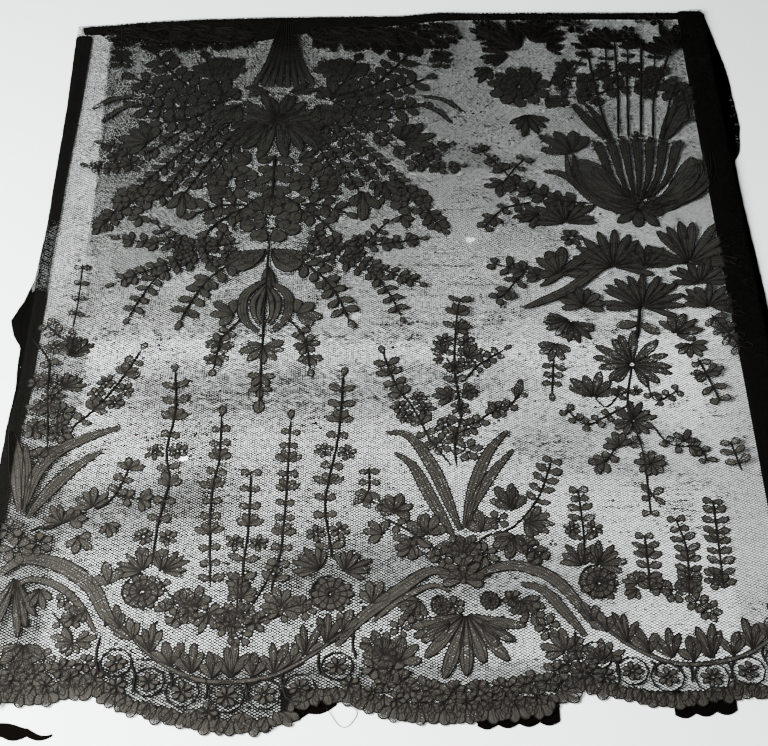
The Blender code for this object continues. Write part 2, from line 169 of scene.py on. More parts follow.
def cloth_z(x, y):
    """Underside of the top stretch: the highest of its supports, plus the soft ridges, less a
    quarter round where it turns down at a fold."""
    out_left = np.interp(y, SECOND_LEFT[:, 0], SECOND_LEFT[:, 1]) - x
    out_front = SECOND_FRONT - SECOND_SWAY - y
    off_net = np.maximum(np.maximum(out_left, out_front), 0)
    off_hems = np.maximum(y - max(row[-1] for row in LOWER_HEMS[1:]), 0)
    held = np.maximum.reduce([
        shelf(x - edge(LEFT, y, INNER), LEFT_HEIGHT + GAP, SHELF, SLOPE),
        shelf(edge(RIGHT, y, INNER) - x, RIGHT_HEIGHT + GAP, SHELF, SLOPE),
        shelf(edge(BACK, x, INNER) - y, BACK_HEIGHT + GAP, SHELF, SLOPE),
        shelf(off_net, WALL + GAP, NET_SHELF, NET_SLOPE),
        shelf(off_hems, WALL + GAP, NET_SHELF, NET_SLOPE),
    ]) + ridge_height(x, y, RIDGES)
    to_fold = np.minimum.reduce([
        x - edge(LEFT, y, FOLD), edge(RIGHT, y, FOLD) - x, edge(BACK, x, FOLD) - y,
    ])
    inward = np.clip((FOLD_RADIUS - to_fold) / FOLD_RADIUS, 0, 1)
    drop = FOLD_RADIUS * (1 - np.sqrt(np.maximum(1 - inward**2, 0)))
    return held - np.minimum(drop, FOLD_DROP)


print("cloth height, middle and right fold, mm:",
      np.round(cloth_z(np.array([0.0, 0.31]), np.array([0.0, 0.0])) * 1000, 2))

# %% [markdown]
# ## Turning arrays into meshes
# Every surface here is a grid of points. The helper below joins each point to its neighbours with
# four-sided faces. It takes a whole stack of grids at once, so a thousand petals are one call.


# %% Grids to meshes
def quads(blocks, rows, columns, wrap_rows=False, wrap_columns=False):
    """Corner numbers of the faces of many equal grids that are stored one after the other."""
    r = np.arange(rows if wrap_rows else rows - 1)
    c = np.arange(columns if wrap_columns else columns - 1)
    r0, c0 = np.meshgrid(r, c, indexing="ij")
    r1, c1 = (r0 + 1) % rows, (c0 + 1) % columns
    one = np.stack([r0 * columns + c0, r0 * columns + c1, r1 * columns + c1, r1 * columns + c0], -1)
    starts = np.arange(blocks)[:, None, None] * rows * columns
    return (one.reshape(1, -1, 4) + starts).reshape(-1, 4)


def mesh_piece(name, parts, material):
    """One object from a list of (points, faces), riding on the shawl's body."""
    points, faces, start = [], [], 0
    for p, f in parts:
        p = p.reshape(-1, 3)
        points.append(p)
        faces.append(f + start)
        start += len(p)
    points, faces = np.vstack(points), np.vstack(faces)
    mesh = bpy.data.meshes.new(name)
    mesh.from_pydata(points, [], faces)
    mesh.polygons.foreach_set("use_smooth", np.full(len(faces), True))
    mesh.materials.append(material)
    mesh.update()
    thing = bpy.data.objects.new(name, mesh)
    bpy.context.scene.collection.objects.link(thing)
    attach(thing, "root")
    print(f"{name}: {len(faces)} faces")
    return thing


def thin_shell(thing, thickness):
    """Gives an open surface a back side, upwards from where it lies."""
    wall = thing.modifiers.new("Thickness", "SOLIDIFY")
    wall.thickness = thickness
    wall.offset = 1.0
    return thing


# %% [markdown]
# ## Materials
# Black lace looks grey only because the table shows between its threads. So the net isn't grey
# paint. Two families of slanting lines are worked out from the position, and the shader shows
# black thread on a line and nothing at all between lines. A slow noise makes the lines thicker and
# thinner, as a worn net is looser in some places than in others.


# %% Shader helpers
def new_material(name):
    """A new material with its nodes, its links and its main shader."""
    material = bpy.data.materials.new(name)
    material.use_nodes = True
    nodes = material.node_tree.nodes
    return material, nodes, material.node_tree.links, nodes["Principled BSDF"]


def math_node(tree, operation, first, second=None):
    """One Math node; inputs are sockets or numbers."""
    node = tree.nodes.new("ShaderNodeMath")
    node.operation = operation
    for socket, value in zip(node.inputs, (first, second)):
        if value is None:
            continue
        if isinstance(value, (int, float)):
            socket.default_value = value
        else:
            tree.links.new(value, socket)
    return node.outputs[0]


def noise_node(tree, vector, scale, detail=2.0, stretch=(1.0, 1.0, 1.0)):
    """A noise. A stretch below 1 draws it out along that axis."""
    mapping = tree.nodes.new("ShaderNodeMapping")
    mapping.inputs["Scale"].default_value = stretch
    tree.links.new(vector, mapping.inputs["Vector"])
    noise = tree.nodes.new("ShaderNodeTexNoise")
    noise.inputs["Scale"].default_value = scale
    noise.inputs["Detail"].default_value = detail
    tree.links.new(mapping.outputs[0], noise.inputs["Vector"])
    return noise


def ramp_node(tree, value, start, stop, low=0.0, high=1.0):
    """low up to a place, high beyond another, and even between them."""
    ramp = tree.nodes.new("ShaderNodeMapRange")
    ends = {"From Min": start, "From Max": stop, "To Min": low, "To Max": high}
    for socket, number in ends.items():
        ramp.inputs[socket].default_value = number
    tree.links.new(value, ramp.inputs["Value"])
    return ramp.outputs["Result"]


def weighed(tree, noise, share):
    """A noise moved to the middle of 0 and made stronger or weaker."""
    return math_node(tree, "MULTIPLY", math_node(tree, "SUBTRACT", noise, 0.5), share)


def thread_lines(tree, x, y, slant, pitch, half_width):
    """1 on a family of parallel threads and 0 between them: the distance across the threads is
    folded into a zigzag from 0 to a half, and what lies above a half less the half width is
    thread."""
    across_x = math_node(tree, "MULTIPLY", x, float(np.cos(slant)) / pitch)
    across_y = math_node(tree, "MULTIPLY", y, float(np.sin(slant)) / pitch)
    zigzag = math_node(tree, "PINGPONG", math_node(tree, "ADD", across_x, across_y), 0.5)
    return math_node(tree, "GREATER_THAN", zigzag, math_node(tree, "SUBTRACT", 0.5, half_width))


# Painted shade: the lace darkens from hem to back, and more over the stacks by the folds.
ROLL_EDGE = 0.2890       # from here to the right the motifs lie on the dark roll
LEFT_EDGE = -0.3020      # and from here to the left on the left stack
EDGE_BLUR = 0.003        # over which a tone changes there
NEAR_HEM = (0.050, -0.200)  # from the middle of the packet towards the hem, the threads change
# Painted shade: over this span of y the lace darkens towards the back.
BACK_SHADE_SPAN = (-0.30, 0.40)    # and from the hem to the back the tone does
BACK_SHADE_AT, FOLD_SHADE_AT = 0.86, 0.93  # places of the back's and the folds' tone on the colour ramp
WARP = 0.0011            # how far a thread of the net strays
NET_PITCH = 0.00200      # distance between neighbouring threads of one slant
# Noise scales, in waves per metre: stray of the threads, fine specks, hairs, groups of hairs,
# and the pale specks of the stacks
WARP_SCALE, FINE_SCALE, HAIR_SCALE, GROUP_SCALE, SPECK_SCALE = 90.0, 620.0, 1150.0, 17.0, 240.0
# How much each noise is drawn out along x
CLOUD_STRETCH, FINE_STRETCH, HAIR_STRETCH = (0.45, 1.0, 1.0), (0.6, 1.0, 1.0), (0.11, 1.0, 1.0)
GROUPING = 0.34          # how strongly the hairs keep together


def lace_material(name, colour, pitch, cover, uneven, slants=(1.02, -1.02), cloth_share=False,
                  fade=None, hairs=None, back_shade_colour=None, hem_cover=None, across=None,
                  fold_shade_colour=None, clouds=30.0):
    """Thread where a line passes, clear between. cover is each family's share of thread, and
    uneven gives how much slow clouds and fine specks change it. across, fade and hem_cover are
    the factors by which the share changes over x, over y and towards the hem. hairs adds fine
    stray threads, and cloth_share solid cloth by the mesh's own amounts. The colours given for
    the back and for the folds are painted shade: darker towards the back, and darkest on the
    folds and over the stacks beside them."""
    material, nodes, links, shader = new_material(name)
    tree = material.node_tree
    shader.inputs["Roughness"].default_value = 0.85
    shader.inputs["Specular IOR Level"].default_value = 0.0
    place = nodes.new("ShaderNodeTexCoord").outputs["Object"]
    warp = noise_node(tree, place, WARP_SCALE, 1.0)
    moved = nodes.new("ShaderNodeVectorMath")
    moved.operation = "MULTIPLY_ADD"
    links.new(warp.outputs["Color"], moved.inputs[0])
    moved.inputs[1].default_value = (WARP, WARP, 0.0)
    links.new(place, moved.inputs[2])
    split = nodes.new("ShaderNodeSeparateXYZ")
    links.new(moved.outputs[0], split.inputs[0])

    # Painted shade: own colour at the hem, darker at the back, darkest on the folds.
    tone = nodes.new("ShaderNodeValToRGB")
    stops = tone.color_ramp.elements
    stops.new(BACK_SHADE_AT)
    for stop, spot, shade in zip(stops, (0.0, BACK_SHADE_AT, FOLD_SHADE_AT),
                                 (colour, back_shade_colour or colour, fold_shade_colour or colour)):
        stop.position = spot
        stop.color = (*shade, 1.0)
    # Painted shade towards the back, and over the stacks by the right and left folds.
    shade_towards_back = ramp_node(tree, split.outputs["Y"], *BACK_SHADE_SPAN)
    shade_on_roll = ramp_node(tree, split.outputs["X"], ROLL_EDGE - EDGE_BLUR, ROLL_EDGE + 0.002)
    shade_on_left = ramp_node(tree, split.outputs["X"], LEFT_EDGE, LEFT_EDGE - EDGE_BLUR)
    shade_on_folds = math_node(tree, "MAXIMUM", shade_on_roll, shade_on_left)
    links.new(math_node(tree, "MAXIMUM", shade_towards_back, shade_on_folds), tone.inputs["Fac"])
    links.new(tone.outputs["Color"], shader.inputs["Base Color"])

    cloud = noise_node(tree, place, clouds, 4.0, CLOUD_STRETCH).outputs["Fac"]
    fine = noise_node(tree, place, FINE_SCALE, 2.0, FINE_STRETCH).outputs["Fac"]
    near_fine = ramp_node(tree, split.outputs["Y"], *NEAR_HEM, 1.0, 0.40)
    speckle = math_node(tree, "MULTIPLY", weighed(tree, fine, uneven[1]), near_fine)
    half = math_node(tree, "ADD", weighed(tree, cloud, uneven[0]), speckle)
    half = math_node(tree, "MULTIPLY", math_node(tree, "ADD", half, 1.0), cover / 2)
    if hem_cover:
        nearness = ramp_node(tree, split.outputs["Y"], *NEAR_HEM, 1.0, hem_cover)
        half = math_node(tree, "MULTIPLY", half, nearness)
    for side, factors in (("X", across), ("Y", fade)):
        if factors:
            share = ramp_node(tree, split.outputs[side], *factors)
            half = math_node(tree, "MULTIPLY", half, share)
    lines = [thread_lines(tree, split.outputs["X"], split.outputs["Y"], slant, pitch, half)
             for slant in slants]
    mask = math_node(tree, "MAXIMUM", *lines)
    if hairs:
        hair = noise_node(tree, place, HAIR_SCALE, 1.0, HAIR_STRETCH).outputs["Fac"]
        group = noise_node(tree, place, GROUP_SCALE, 2.0).outputs["Fac"]
        level = math_node(tree, "SUBTRACT", hairs, math_node(tree, "MULTIPLY", group, GROUPING))
        mask = math_node(tree, "MAXIMUM", mask, math_node(tree, "GREATER_THAN", hair, level))
    if cloth_share:
        amount = nodes.new("ShaderNodeAttribute")
        amount.attribute_name = "cloth_share"
        speck = noise_node(tree, place, SPECK_SCALE, 2.0).outputs["Fac"]
        solid = math_node(tree, "GREATER_THAN", amount.outputs["Fac"], speck)
        mask = math_node(tree, "MAXIMUM", mask, solid)
    clear = nodes.new("ShaderNodeBsdfTransparent")
    mix = nodes.new("ShaderNodeMixShader")
    links.new(mask, mix.inputs["Fac"])
    links.new(clear.outputs[0], mix.inputs[1])
    links.new(shader.outputs[0], mix.inputs[2])
    links.new(mix.outputs[0], nodes["Material Output"].inputs["Surface"])
    return material


# The net's colour on the folds is painted shade.
net = lace_material("lace_net", (0.0040, 0.0040, 0.0034), NET_PITCH, 0.264, (0.45, 5.00),
                    # Painted light: across thins the net towards the right, against the thread
                    # shadows of the low lamp.
                    hairs=0.862, hem_cover=1.58, across=(-0.08, 0.24, 0.99, 0.54),
                    fold_shade_colour=(0.0034, 0.0034, 0.0029))
under_net = lace_material("second_net", (0.0070, 0.0075, 0.0065), 0.00170, 0.18, (0.80, 5.00),
                          slants=(0.30, -0.42), across=(-0.25, -0.12, 1.6, 1.0),
                          fade=(-0.030, 0.200))
# The clothwork's colour is its own warm brownish black lifted by a painted sheen.
clothwork = lace_material("clothwork", (0.0230, 0.0215, 0.0185), 0.00115, 0.62, (2.60, 3.50),
                          # Its colours at the back and on the folds are painted shade.
                          back_shade_colour=(0.0085, 0.0090, 0.0076),
                          fold_shade_colour=(0.0014, 0.0014, 0.0011), clouds=190.0)
stack_lace = lace_material("stacked_lace", (0.0011, 0.0011, 0.0009), 0.00120, 0.34, (0.3, 0.5),
                           cloth_share=True)
hem_lace = lace_material("hem_lace", (0.0012, 0.0010, 0.0008), 0.00110, 0.55, (0.3, 0.5),
                         cloth_share=True)
print("net pitch, mm:", NET_PITCH * 1000)

# %% [markdown]
# The raised thread round each motif is thick silk, so it is solid black with a soft gleam. A fine
# bump twists along it, and its colour carries painted light: lighter towards the hem, where more
# light falls.


# %% Outline thread
TONES = (0.6, 1.8)       # darkest and lightest tone, in shares of the thread's colour
# Painted light: the thread's colour is lighter towards the hem, where more light falls.
HEM_PAINTED_LIGHT = (-0.30, 0.12, 1.7, 1.0)  # from y, to y, and the factors of the tone there
TONE_SCALE, TWIST_SCALE = 300.0, 1400.0
TWIST_DEPTH = 0.0002


def thread_material(name, colour):
    """Dark silk: one noise makes its tone waver, and another twists its surface. Its colour is
    lighter towards the hem, a painted light.
    """
    material, nodes, links, shader = new_material(name)
    tree = material.node_tree
    shader.inputs["Roughness"].default_value = 0.55
    shader.inputs["Specular IOR Level"].default_value = 0.04
    place = nodes.new("ShaderNodeTexCoord").outputs["Object"]
    shade = noise_node(tree, place, TONE_SCALE, 2.0)
    ramp = nodes.new("ShaderNodeValToRGB")
    for stop, factor in zip(ramp.color_ramp.elements, TONES):
        stop.color = (*[c * factor for c in colour], 1.0)
    links.new(shade.outputs["Fac"], ramp.inputs["Fac"])
    split = nodes.new("ShaderNodeSeparateXYZ")
    links.new(place, split.inputs[0])
    # Painted light: the colour is scaled up towards the hem.
    painted_hem_light = nodes.new("ShaderNodeVectorMath")
    painted_hem_light.operation = "SCALE"
    links.new(ramp.outputs["Color"], painted_hem_light.inputs[0])
    links.new(ramp_node(tree, split.outputs["Y"], *HEM_PAINTED_LIGHT), painted_hem_light.inputs["Scale"])
    links.new(painted_hem_light.outputs[0], shader.inputs["Base Color"])
    twist = noise_node(tree, place, TWIST_SCALE, 1.0)
    bump = nodes.new("ShaderNodeBump")
    bump.inputs["Strength"].default_value = 0.4
    bump.inputs["Distance"].default_value = TWIST_DEPTH
    links.new(twist.outputs["Fac"], bump.inputs["Height"])
    links.new(bump.outputs["Normal"], shader.inputs["Normal"])
    return material


thread = thread_material("outline_thread", (0.0022, 0.0020, 0.0017))

# %% [markdown]
# ## The top stretch of net
# One grid covers the whole stretch: its columns run from the left fold to the right one and its
# rows from the hem to the back fold, closer together near the folds, where the cloth turns down. At
# each rip a small window of the grid is left out and filled with rings that end at the torn edge.

# %% Top net
NET_LIFT = 0.00010       # underside of the net above the CAD wall's underside
NET_THICK = 0.00030
ACROSS, DEEP = 150, 172  # cells of the grid
RIP_CELLS = 3            # half the window that is left out at a rip
RIP_RINGS = 5
NEAR_FOLD = np.array([0.0, 0.0005, 0.0012, 0.0022, 0.0045])
EVEN_ACROSS, EVEN_DEEP = (0.012, 0.988), (0.0, 0.991)  # shares between which cells are equal
WELD = 0.00002


def net_grid():
    """x and y of the grid: shares of the way between facing edges, corrected once for x."""
    width = RIGHT[:, FOLD].mean() - LEFT[:, FOLD].mean()
    depth = BACK[:, FOLD].mean() - HEM[:, 1].mean()
    even = ACROSS + 1 - 2 * len(NEAR_FOLD)
    u = np.concatenate([NEAR_FOLD / width, np.linspace(*EVEN_ACROSS, even),
                        1 - NEAR_FOLD[::-1] / width])
    v = np.concatenate([np.linspace(*EVEN_DEEP, DEEP + 1 - len(NEAR_FOLD)),
                        1 - NEAR_FOLD[::-1] / depth])
    first = np.interp(u, [0, 1], [LEFT[:, FOLD].mean(), RIGHT[:, FOLD].mean()])
    y = hem_at(first)[None] + (edge(BACK, first, FOLD) - hem_at(first))[None] * v[:, None]
    low, high = edge(LEFT, y, FOLD), edge(RIGHT, y, FOLD)
    x = low + (high - low) * u[None]
    y = hem_at(x) + (edge(BACK, x, FOLD) - hem_at(x)) * v[:, None]
    return x, y


def rip_edge(row, angle):
    """Torn edge in the direction of an angle: an oval, made uneven by waves of three
    and seven."""
    cx, cy, wide, deep, turn = row
    reach = 1 / np.hypot(np.cos(angle - turn) / wide, np.sin(angle - turn) / deep)
    reach = reach * (1 + 0.16 * np.sin(3 * angle + turn) + 0.10 * np.sin(7 * angle))
    return cx + reach * np.cos(angle), cy + reach * np.sin(angle)


def top_net():
    """The grid without its windows, a set of rings in each window, and a thickness."""
    x, y = net_grid()
    rows, columns = x.shape
    faces = quads(1, rows, columns)
    parts, kept = [], np.ones(len(faces), bool)
    for row in RIPS:
        j = int(np.argmin(abs(x[rows // 2] - row[0])))
        i = int(np.argmin(abs(y[:, j] - row[1])))
        half = RIP_CELLS
        window = (abs(np.arange(rows)[:, None] - i) <= half) & (
            abs(np.arange(columns)[None] - j) <= half)
        corners = window.ravel()[faces].all(1)
        kept &= ~corners
        loop = ([(i - half, c) for c in range(j - half, j + half)]
                + [(r, j + half) for r in range(i - half, i + half)]
                + [(i + half, c) for c in range(j + half, j - half, -1)]
                + [(r, j - half) for r in range(i + half, i - half, -1)])
        r, c = np.array(loop).T
        outer_x, outer_y = x[r, c], y[r, c]
        inner_x, inner_y = rip_edge(row, np.arctan2(outer_y - row[1], outer_x - row[0]))
        t = np.linspace(0, 1, RIP_RINGS)[:, None]
        ring_x, ring_y = outer_x + (inner_x - outer_x) * t, outer_y + (inner_y - outer_y) * t
        ring = np.stack([ring_x, ring_y, cloth_z(ring_x, ring_y) + NET_LIFT], -1)
        parts.append((ring, quads(1, RIP_RINGS, len(loop), wrap_columns=True)))
    grid = np.stack([x, y, cloth_z(x, y) + NET_LIFT], -1)
    thing = mesh_piece("top_net", [(grid, faces[kept])] + parts, net)
    weld = thing.modifiers.new("Join", "WELD")
    weld.merge_threshold = WELD
    return thin_shell(thing, NET_THICK)


ground = top_net()
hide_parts("top_stretch")

# %% [markdown]
# ## The second thickness of net
# A second layer shows through the back half of the first and makes the ground darker there. Its
# left edge is a faint line in the lace above it.


# %% Second net
SECOND_INSET = 0.0094    # clear of the right roll
BACK_CLEAR = 0.0003      # and of the back stack


def second_net():
    """A grid from the second net's left edge to the right stack, and from its wavy front edge to
    the back stack."""
    u, v = np.linspace(0, 1, 90), np.linspace(0, 1, 60)
    right = RIGHT[:, INNER].min() - SECOND_INSET
    first = SECOND_LEFT[0, 1] + (right - SECOND_LEFT[0, 1]) * u
    front = SECOND_FRONT + SECOND_SWAY * np.sin(11 * first) * np.sin(27 * first)
    back = edge(BACK, first, INNER) - 2 * BACK_CLEAR
    y = front[None] + (back - front)[None] * v[:, None]
    left = np.interp(y, SECOND_LEFT[:, 0], SECOND_LEFT[:, 1])
    x = left + (right - left) * u[None]
    y = np.minimum(y, edge(BACK, x, INNER) - BACK_CLEAR)
    grid = np.stack([x, y, np.full(x.shape, NET_LIFT)], -1)
    thing = mesh_piece("second_net", [(grid, quads(1, *x.shape))], under_net)
    return thin_shell(thing, NET_THICK)


under = second_net()
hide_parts("second_stretch")

# %% [markdown]
# ## Drawing with leaves and threads
# All the flowers come from two shapes. A leaf is a flat lens of denser net with a raised thread
# round it, and a cord of thread makes stems, ribs and rings. A motif only says where its leaves and
# cords go. They are collected in lists and turned into meshes in one go at the end. The tables of
# motifs are in millimetres and radians.

# %% Leaves and cords
MM = 0.001
LEAF_POINTS = 9          # places along a leaf
FILL_LIFT = 0.00042      # edge of the clothwork above the cloth's height, just over the net
FILL_RISE = 0.00022      # and how much higher its middle lies
CORD_LIFT = 0.00038      # foot of a thread above the cloth's height
CORD_RISE = 0.00050      # and how thick the thread is
OUTLINE = 0.00054        # half the width of the thread round a leaf
VEIN = 0.00026           # half the width of the thread inside a leaf
STEM = 0.00105           # half the width of a stem of size 1
FOLD_MARGIN = 0.0016     # motifs stay this far from the folds
CORD_END = 0.25          # share of its width that a thread keeps at its ends


def new_work():
    """Empty lists for the parts of a motif."""
    return {"leaves": [], "strips": [], "cords": [], "rings": []}


def add_leaves(work, x, y, heading, length, width, bend=0.0, point=0.7):
    """Leaves from their stalk ends. point is 0 for a round petal and 1 for a pointed leaf."""
    rows = np.broadcast_arrays(*[np.atleast_1d(np.asarray(v, float)) for v in
                                 (x, y, heading, length, width, bend, point)])
    work["leaves"].append(np.column_stack(rows))


def leaf_centres(rows):
    """Middle line and half width of each leaf. The places along it are closer together at its two
    ends, so that they come out round. The heading turns steadily by the bend, and the half width
    is a sine bulge, fuller for a petal."""
    x, y, heading, length, width, bend, point = rows.T[:, :, None]
    s = (1 - np.cos(np.pi * np.linspace(0, 1, LEAF_POINTS)))[None] / 2
    aim = heading + bend * ((s[:, 1:] + s[:, :-1]) / 2 - 0.5)
    step = length * np.diff(s)
    start = np.zeros((len(rows), 1))
    run_x = np.hstack([start, np.cumsum(np.cos(aim) * step, 1)])
    run_y = np.hstack([start, np.cumsum(np.sin(aim) * step, 1)])
    belly = np.log(0.5) / np.log(0.66 - 0.24 * point)
    bulge = np.sin(np.pi * s**belly) ** (0.55 + 0.45 * point)
    half = width / 2 * np.maximum(bulge, 0.04)
    return np.stack([x + run_x, y + run_y], -1), half


def side_lines(centre, half):
    """The two outer lines of a strip: its middle line moved sideways by its half width."""
    slope = np.gradient(centre, axis=1)
    slope = slope / np.maximum(np.linalg.norm(slope, axis=-1, keepdims=True), 1e-9)
    normal = np.stack([-slope[..., 1], slope[..., 0]], -1)
    return centre + normal * half[..., None], centre - normal * half[..., None]


def inside_packet(xy):
    """True for each row of points that stays clear of the three folds."""
    x, y = xy[..., 0], xy[..., 1]
    clear = ((x > edge(LEFT, y, FOLD) + FOLD_MARGIN) & (x < edge(RIGHT, y, FOLD) - FOLD_MARGIN)
             & (y < edge(BACK, x, FOLD) - FOLD_MARGIN))
    return clear.all(axis=1)


def draped(xy, lift):
    """Points laid on the cloth, a little above it."""
    return np.concatenate([xy, (cloth_z(xy[..., 0], xy[..., 1]) + lift)[..., None]], -1)


def lens(centre, half, base, rise):
    """A strip of cloth from its left edge over a raised middle to its right edge."""
    left, right = side_lines(centre, half)
    points = np.stack([draped(right, base), draped(centre, base + rise), draped(left, base)], 2)
    count, rows = centre.shape[:2]
    return points, quads(count, rows, 3)


def cord_rings(path, half, closed=False):
    """Thread laid on the cloth along many paths: three sides, thinner at its two ends."""
    count, rows = path.shape[:2]
    if closed:
        before, after = np.roll(path, 1, 1), np.roll(path, -1, 1)
        slope = after - before
    else:
        slope = np.gradient(path, axis=1)
    slope = slope / np.maximum(np.linalg.norm(slope, axis=-1, keepdims=True), 1e-9)
    normal = np.stack([-slope[..., 1], slope[..., 0]], -1)
    width = np.full(rows, half)
    if not closed:
        width[[0, -1]] *= CORD_END
    aside = normal * width[None, :, None]
    points = np.stack([draped(path + aside, CORD_LIFT), draped(path, CORD_LIFT + CORD_RISE),
                       draped(path - aside, CORD_LIFT)], 2)
    return points, quads(count, rows, 3, wrap_rows=closed, wrap_columns=True)


def route(points, count=24):
    """A smooth curve through given places. Each stretch is a cubic whose slope at a place
    is half the step between the places beside it."""
    p = np.asarray(points, float)
    last = len(p) - 2
    p = np.vstack([2 * p[0] - p[1], p, 2 * p[-1] - p[-2]])
    t = np.linspace(0, last + 1, 12 * count)
    i = np.minimum(t.astype(int), last)
    f = (t - i)[:, None]
    a, b, c, d = p[i], p[i + 1], p[i + 2], p[i + 3]
    curve = 0.5 * (2 * b + (c - a) * f + (2 * a - 5 * b + 4 * c - d) * f**2
                   + (3 * b - a - 3 * c + d) * f**3)
    run = np.concatenate([[0], np.cumsum(np.hypot(*np.diff(curve, axis=0).T))])
    even = np.linspace(0, run[-1], count)
    return np.column_stack([np.interp(even, run, curve[:, k]) for k in (0, 1)])


def spots(path, shares):
    """Places and headings at shares of a curve's length."""
    s = np.linspace(0, 1, len(path))
    slope = np.gradient(path, axis=0)
    x, y = (np.interp(shares, s, path[:, k]) for k in (0, 1))
    heading = np.arctan2(np.interp(shares, s, slope[:, 1]), np.interp(shares, s, slope[:, 0]))
    return x, y, heading


def cord(work, path, half):
    """A thread along a path."""
    work["cords"].append((np.asarray(path), half))


def strip(work, path, half):
    """A band of clothwork along a path, with a thread at each side."""
    half = np.broadcast_to(np.asarray(half, float), (len(path),))
    work["strips"].append((np.asarray(path), half))


def ring(work, x, y, size, half=OUTLINE):
    """A thread round an eyelet or a window."""
    work["rings"].append((x, y, size, half))


print("leaf points:", LEAF_POINTS)

# %% [markdown]
# ## Small motifs
# A flower is a ring of petals round an eyelet, and a rose has more rings of them round a disc of
# open net. Lobed leaves, bells and shells are all one fan: lobes that share one foot, each as wide
# as the arc leaves room for, so that slits of pale net stay open between them. A stem bears at each
# of its nodes what one letter names. The same few functions, with other places and sizes, give
# every plant in the shawl.


# %% Flowers, fans and stems
def flower(work, x, y, size, petals=6, turn=0.3):
    """Petals round an eyelet, each nearly as wide as its share of the circle."""
    angle = turn + 2 * np.pi * np.arange(petals) / petals
    start = 0.22 * size
    add_leaves(work, x + start * np.cos(angle), y + start * np.sin(angle), angle, 0.80 * size,
               1.10 * size * np.sin(np.pi / petals), 0.0, 0.05)
    ring(work, x, y, 0.20 * size)


def rose(work, x, y, size, turn):
    """A ring of broad petals, and a second one that leaves a patch of net open at its foot."""
    for start_share, reach, angle in (
            (0.46, 0.56, turn + 2 * np.pi * np.arange(9) / 9),
            (0.16, 0.46, np.pi / 2 + np.linspace(-2.1, 2.1, 6))):
        start = start_share * size
        add_leaves(work, x + start * np.cos(angle), y + start * np.sin(angle), angle, reach * size,
                   (0.56 if start_share > 0.4 else 0.40) * size, 0.0, 0.0)
    ring(work, x, y - 0.20 * size, 0.24 * size, 0.0005)


SLIT = 0.56              # share of the arc at its tips that the lobes of a fan fill
LOBE_BEND = 0.30         # how far the outermost lobes of a fan turn outwards


def fan(work, x, y, heading, spread, lobes, length, point=0.03, droop=0.22):
    """Lobes from one foot. The outer ones are shorter by the droop and bend outwards."""
    k = np.linspace(-1, 1, lobes)
    reach = length * (1 - droop * k**2)
    room = spread / max(lobes - 1, 1) * SLIT * length
    width = np.minimum(room, 0.42 * length)
    aim = heading + k * spread / 2
    start = 0.06 * length
    add_leaves(work, x + start * np.cos(aim), y + start * np.sin(aim), aim, reach - start, width,
               LOBE_BEND * k, point)


def lay_fans(work, rows):
    """One fan for each row of a table."""
    for x, y, heading, spread, lobes, length in rows:
        fan(work, x * MM, y * MM, heading, spread, lobes, length * MM)


def lay_flowers(work, rows):
    """Each flower is turned by an angle that depends on its place."""
    for x, y, size, petals in rows:
        flower(work, x * MM, y * MM, size * MM, petals, 40 * x * MM)


def lay_blades(work, rows, tip=0.25):
    """Long blades with a vein: half width times a sine, so that both ends are pointed."""
    for places, half in rows:
        path = route(np.multiply(places, MM), 26)
        strip(work, path, half * MM * np.sin(np.linspace(tip, np.pi - tip, len(path))))


def lay_posts(work, rows, count):
    """Bare threads through the places of each row."""
    for places, half in rows:
        cord(work, route(np.multiply(places, MM), count), half * MM)


# Columns, metres and radians: letters, angle off the stem, length, width, bend, point
NODE_LEAVES = (
    ("b", 1.35, 0.0086, 0.0068, 0.0, 0.0), ("v", 0.62, 0.0150, 0.0062, -0.3, 0.6),
    ("lt", 1.15, 0.0120, 0.0066, -0.3, 0.3), ("t", 0.50, 0.0120, 0.0064, 0.2, 0.3),
)


def grow(work, kind, x, y, aim, size):
    """What grows at one node: b a pair of balls, l a pair of leaves, t two pairs, v a pair of
    narrow leaves close to the stem, f a pair of flowers, r one flower on the stem, p one leaf at
    the tip."""
    if kind == "r":
        flower(work, x, y, 0.0082 * size, 6, aim)
    if kind == "p":
        add_leaves(work, x, y, aim, 0.0095 * size, 0.0060 * size, 0.0, 0.2)
    for side in (-1.0, 1.0):
        for kinds, aside, length, width, bend, point in NODE_LEAVES:
            if kind in kinds:
                add_leaves(work, x, y, aim + aside * side, length * size, width * size,
                           bend * side, point)
        if kind == "f":
            flower(work, x - np.sin(aim) * 0.0094 * side * size,
                   y + np.cos(aim) * 0.0094 * side * size, 0.0076 * size, 6, aim)


def lay_stems(work, rows):
    """A thread for each row, with its nodes spread evenly from the start share to the tip."""
    for places, kinds, size, start in rows:
        path = route(np.multiply(places, MM), 22)
        cord(work, path, STEM * size)
        x, y, aim = spots(path, np.linspace(start, 0.99, len(kinds)))
        for node in zip(kinds, x, y, aim):
            grow(work, *node, size)


SPIRAL_HALF = 0.0009     # half the width of a spiral's cord


def spiral(work, x, y, size, turns=2.8):
    """A disc of petals with a spiral cord on it: its radius shrinks evenly to a tenth."""
    angle = 2 * np.pi * np.arange(12) / 12
    add_leaves(work, x + 0.12 * size * np.cos(angle), y + 0.12 * size * np.sin(angle), angle,
               0.90 * size, 0.40 * size, 0.0, 0.0)
    t = np.linspace(0, 1, 60)
    angle = 1.5 + 2 * np.pi * turns * t
    radius = size * (1.08 - 0.98 * t)
    coil = np.column_stack([x + radius * np.cos(angle), y + radius * np.sin(angle)])
    cord(work, coil, SPIRAL_HALF)


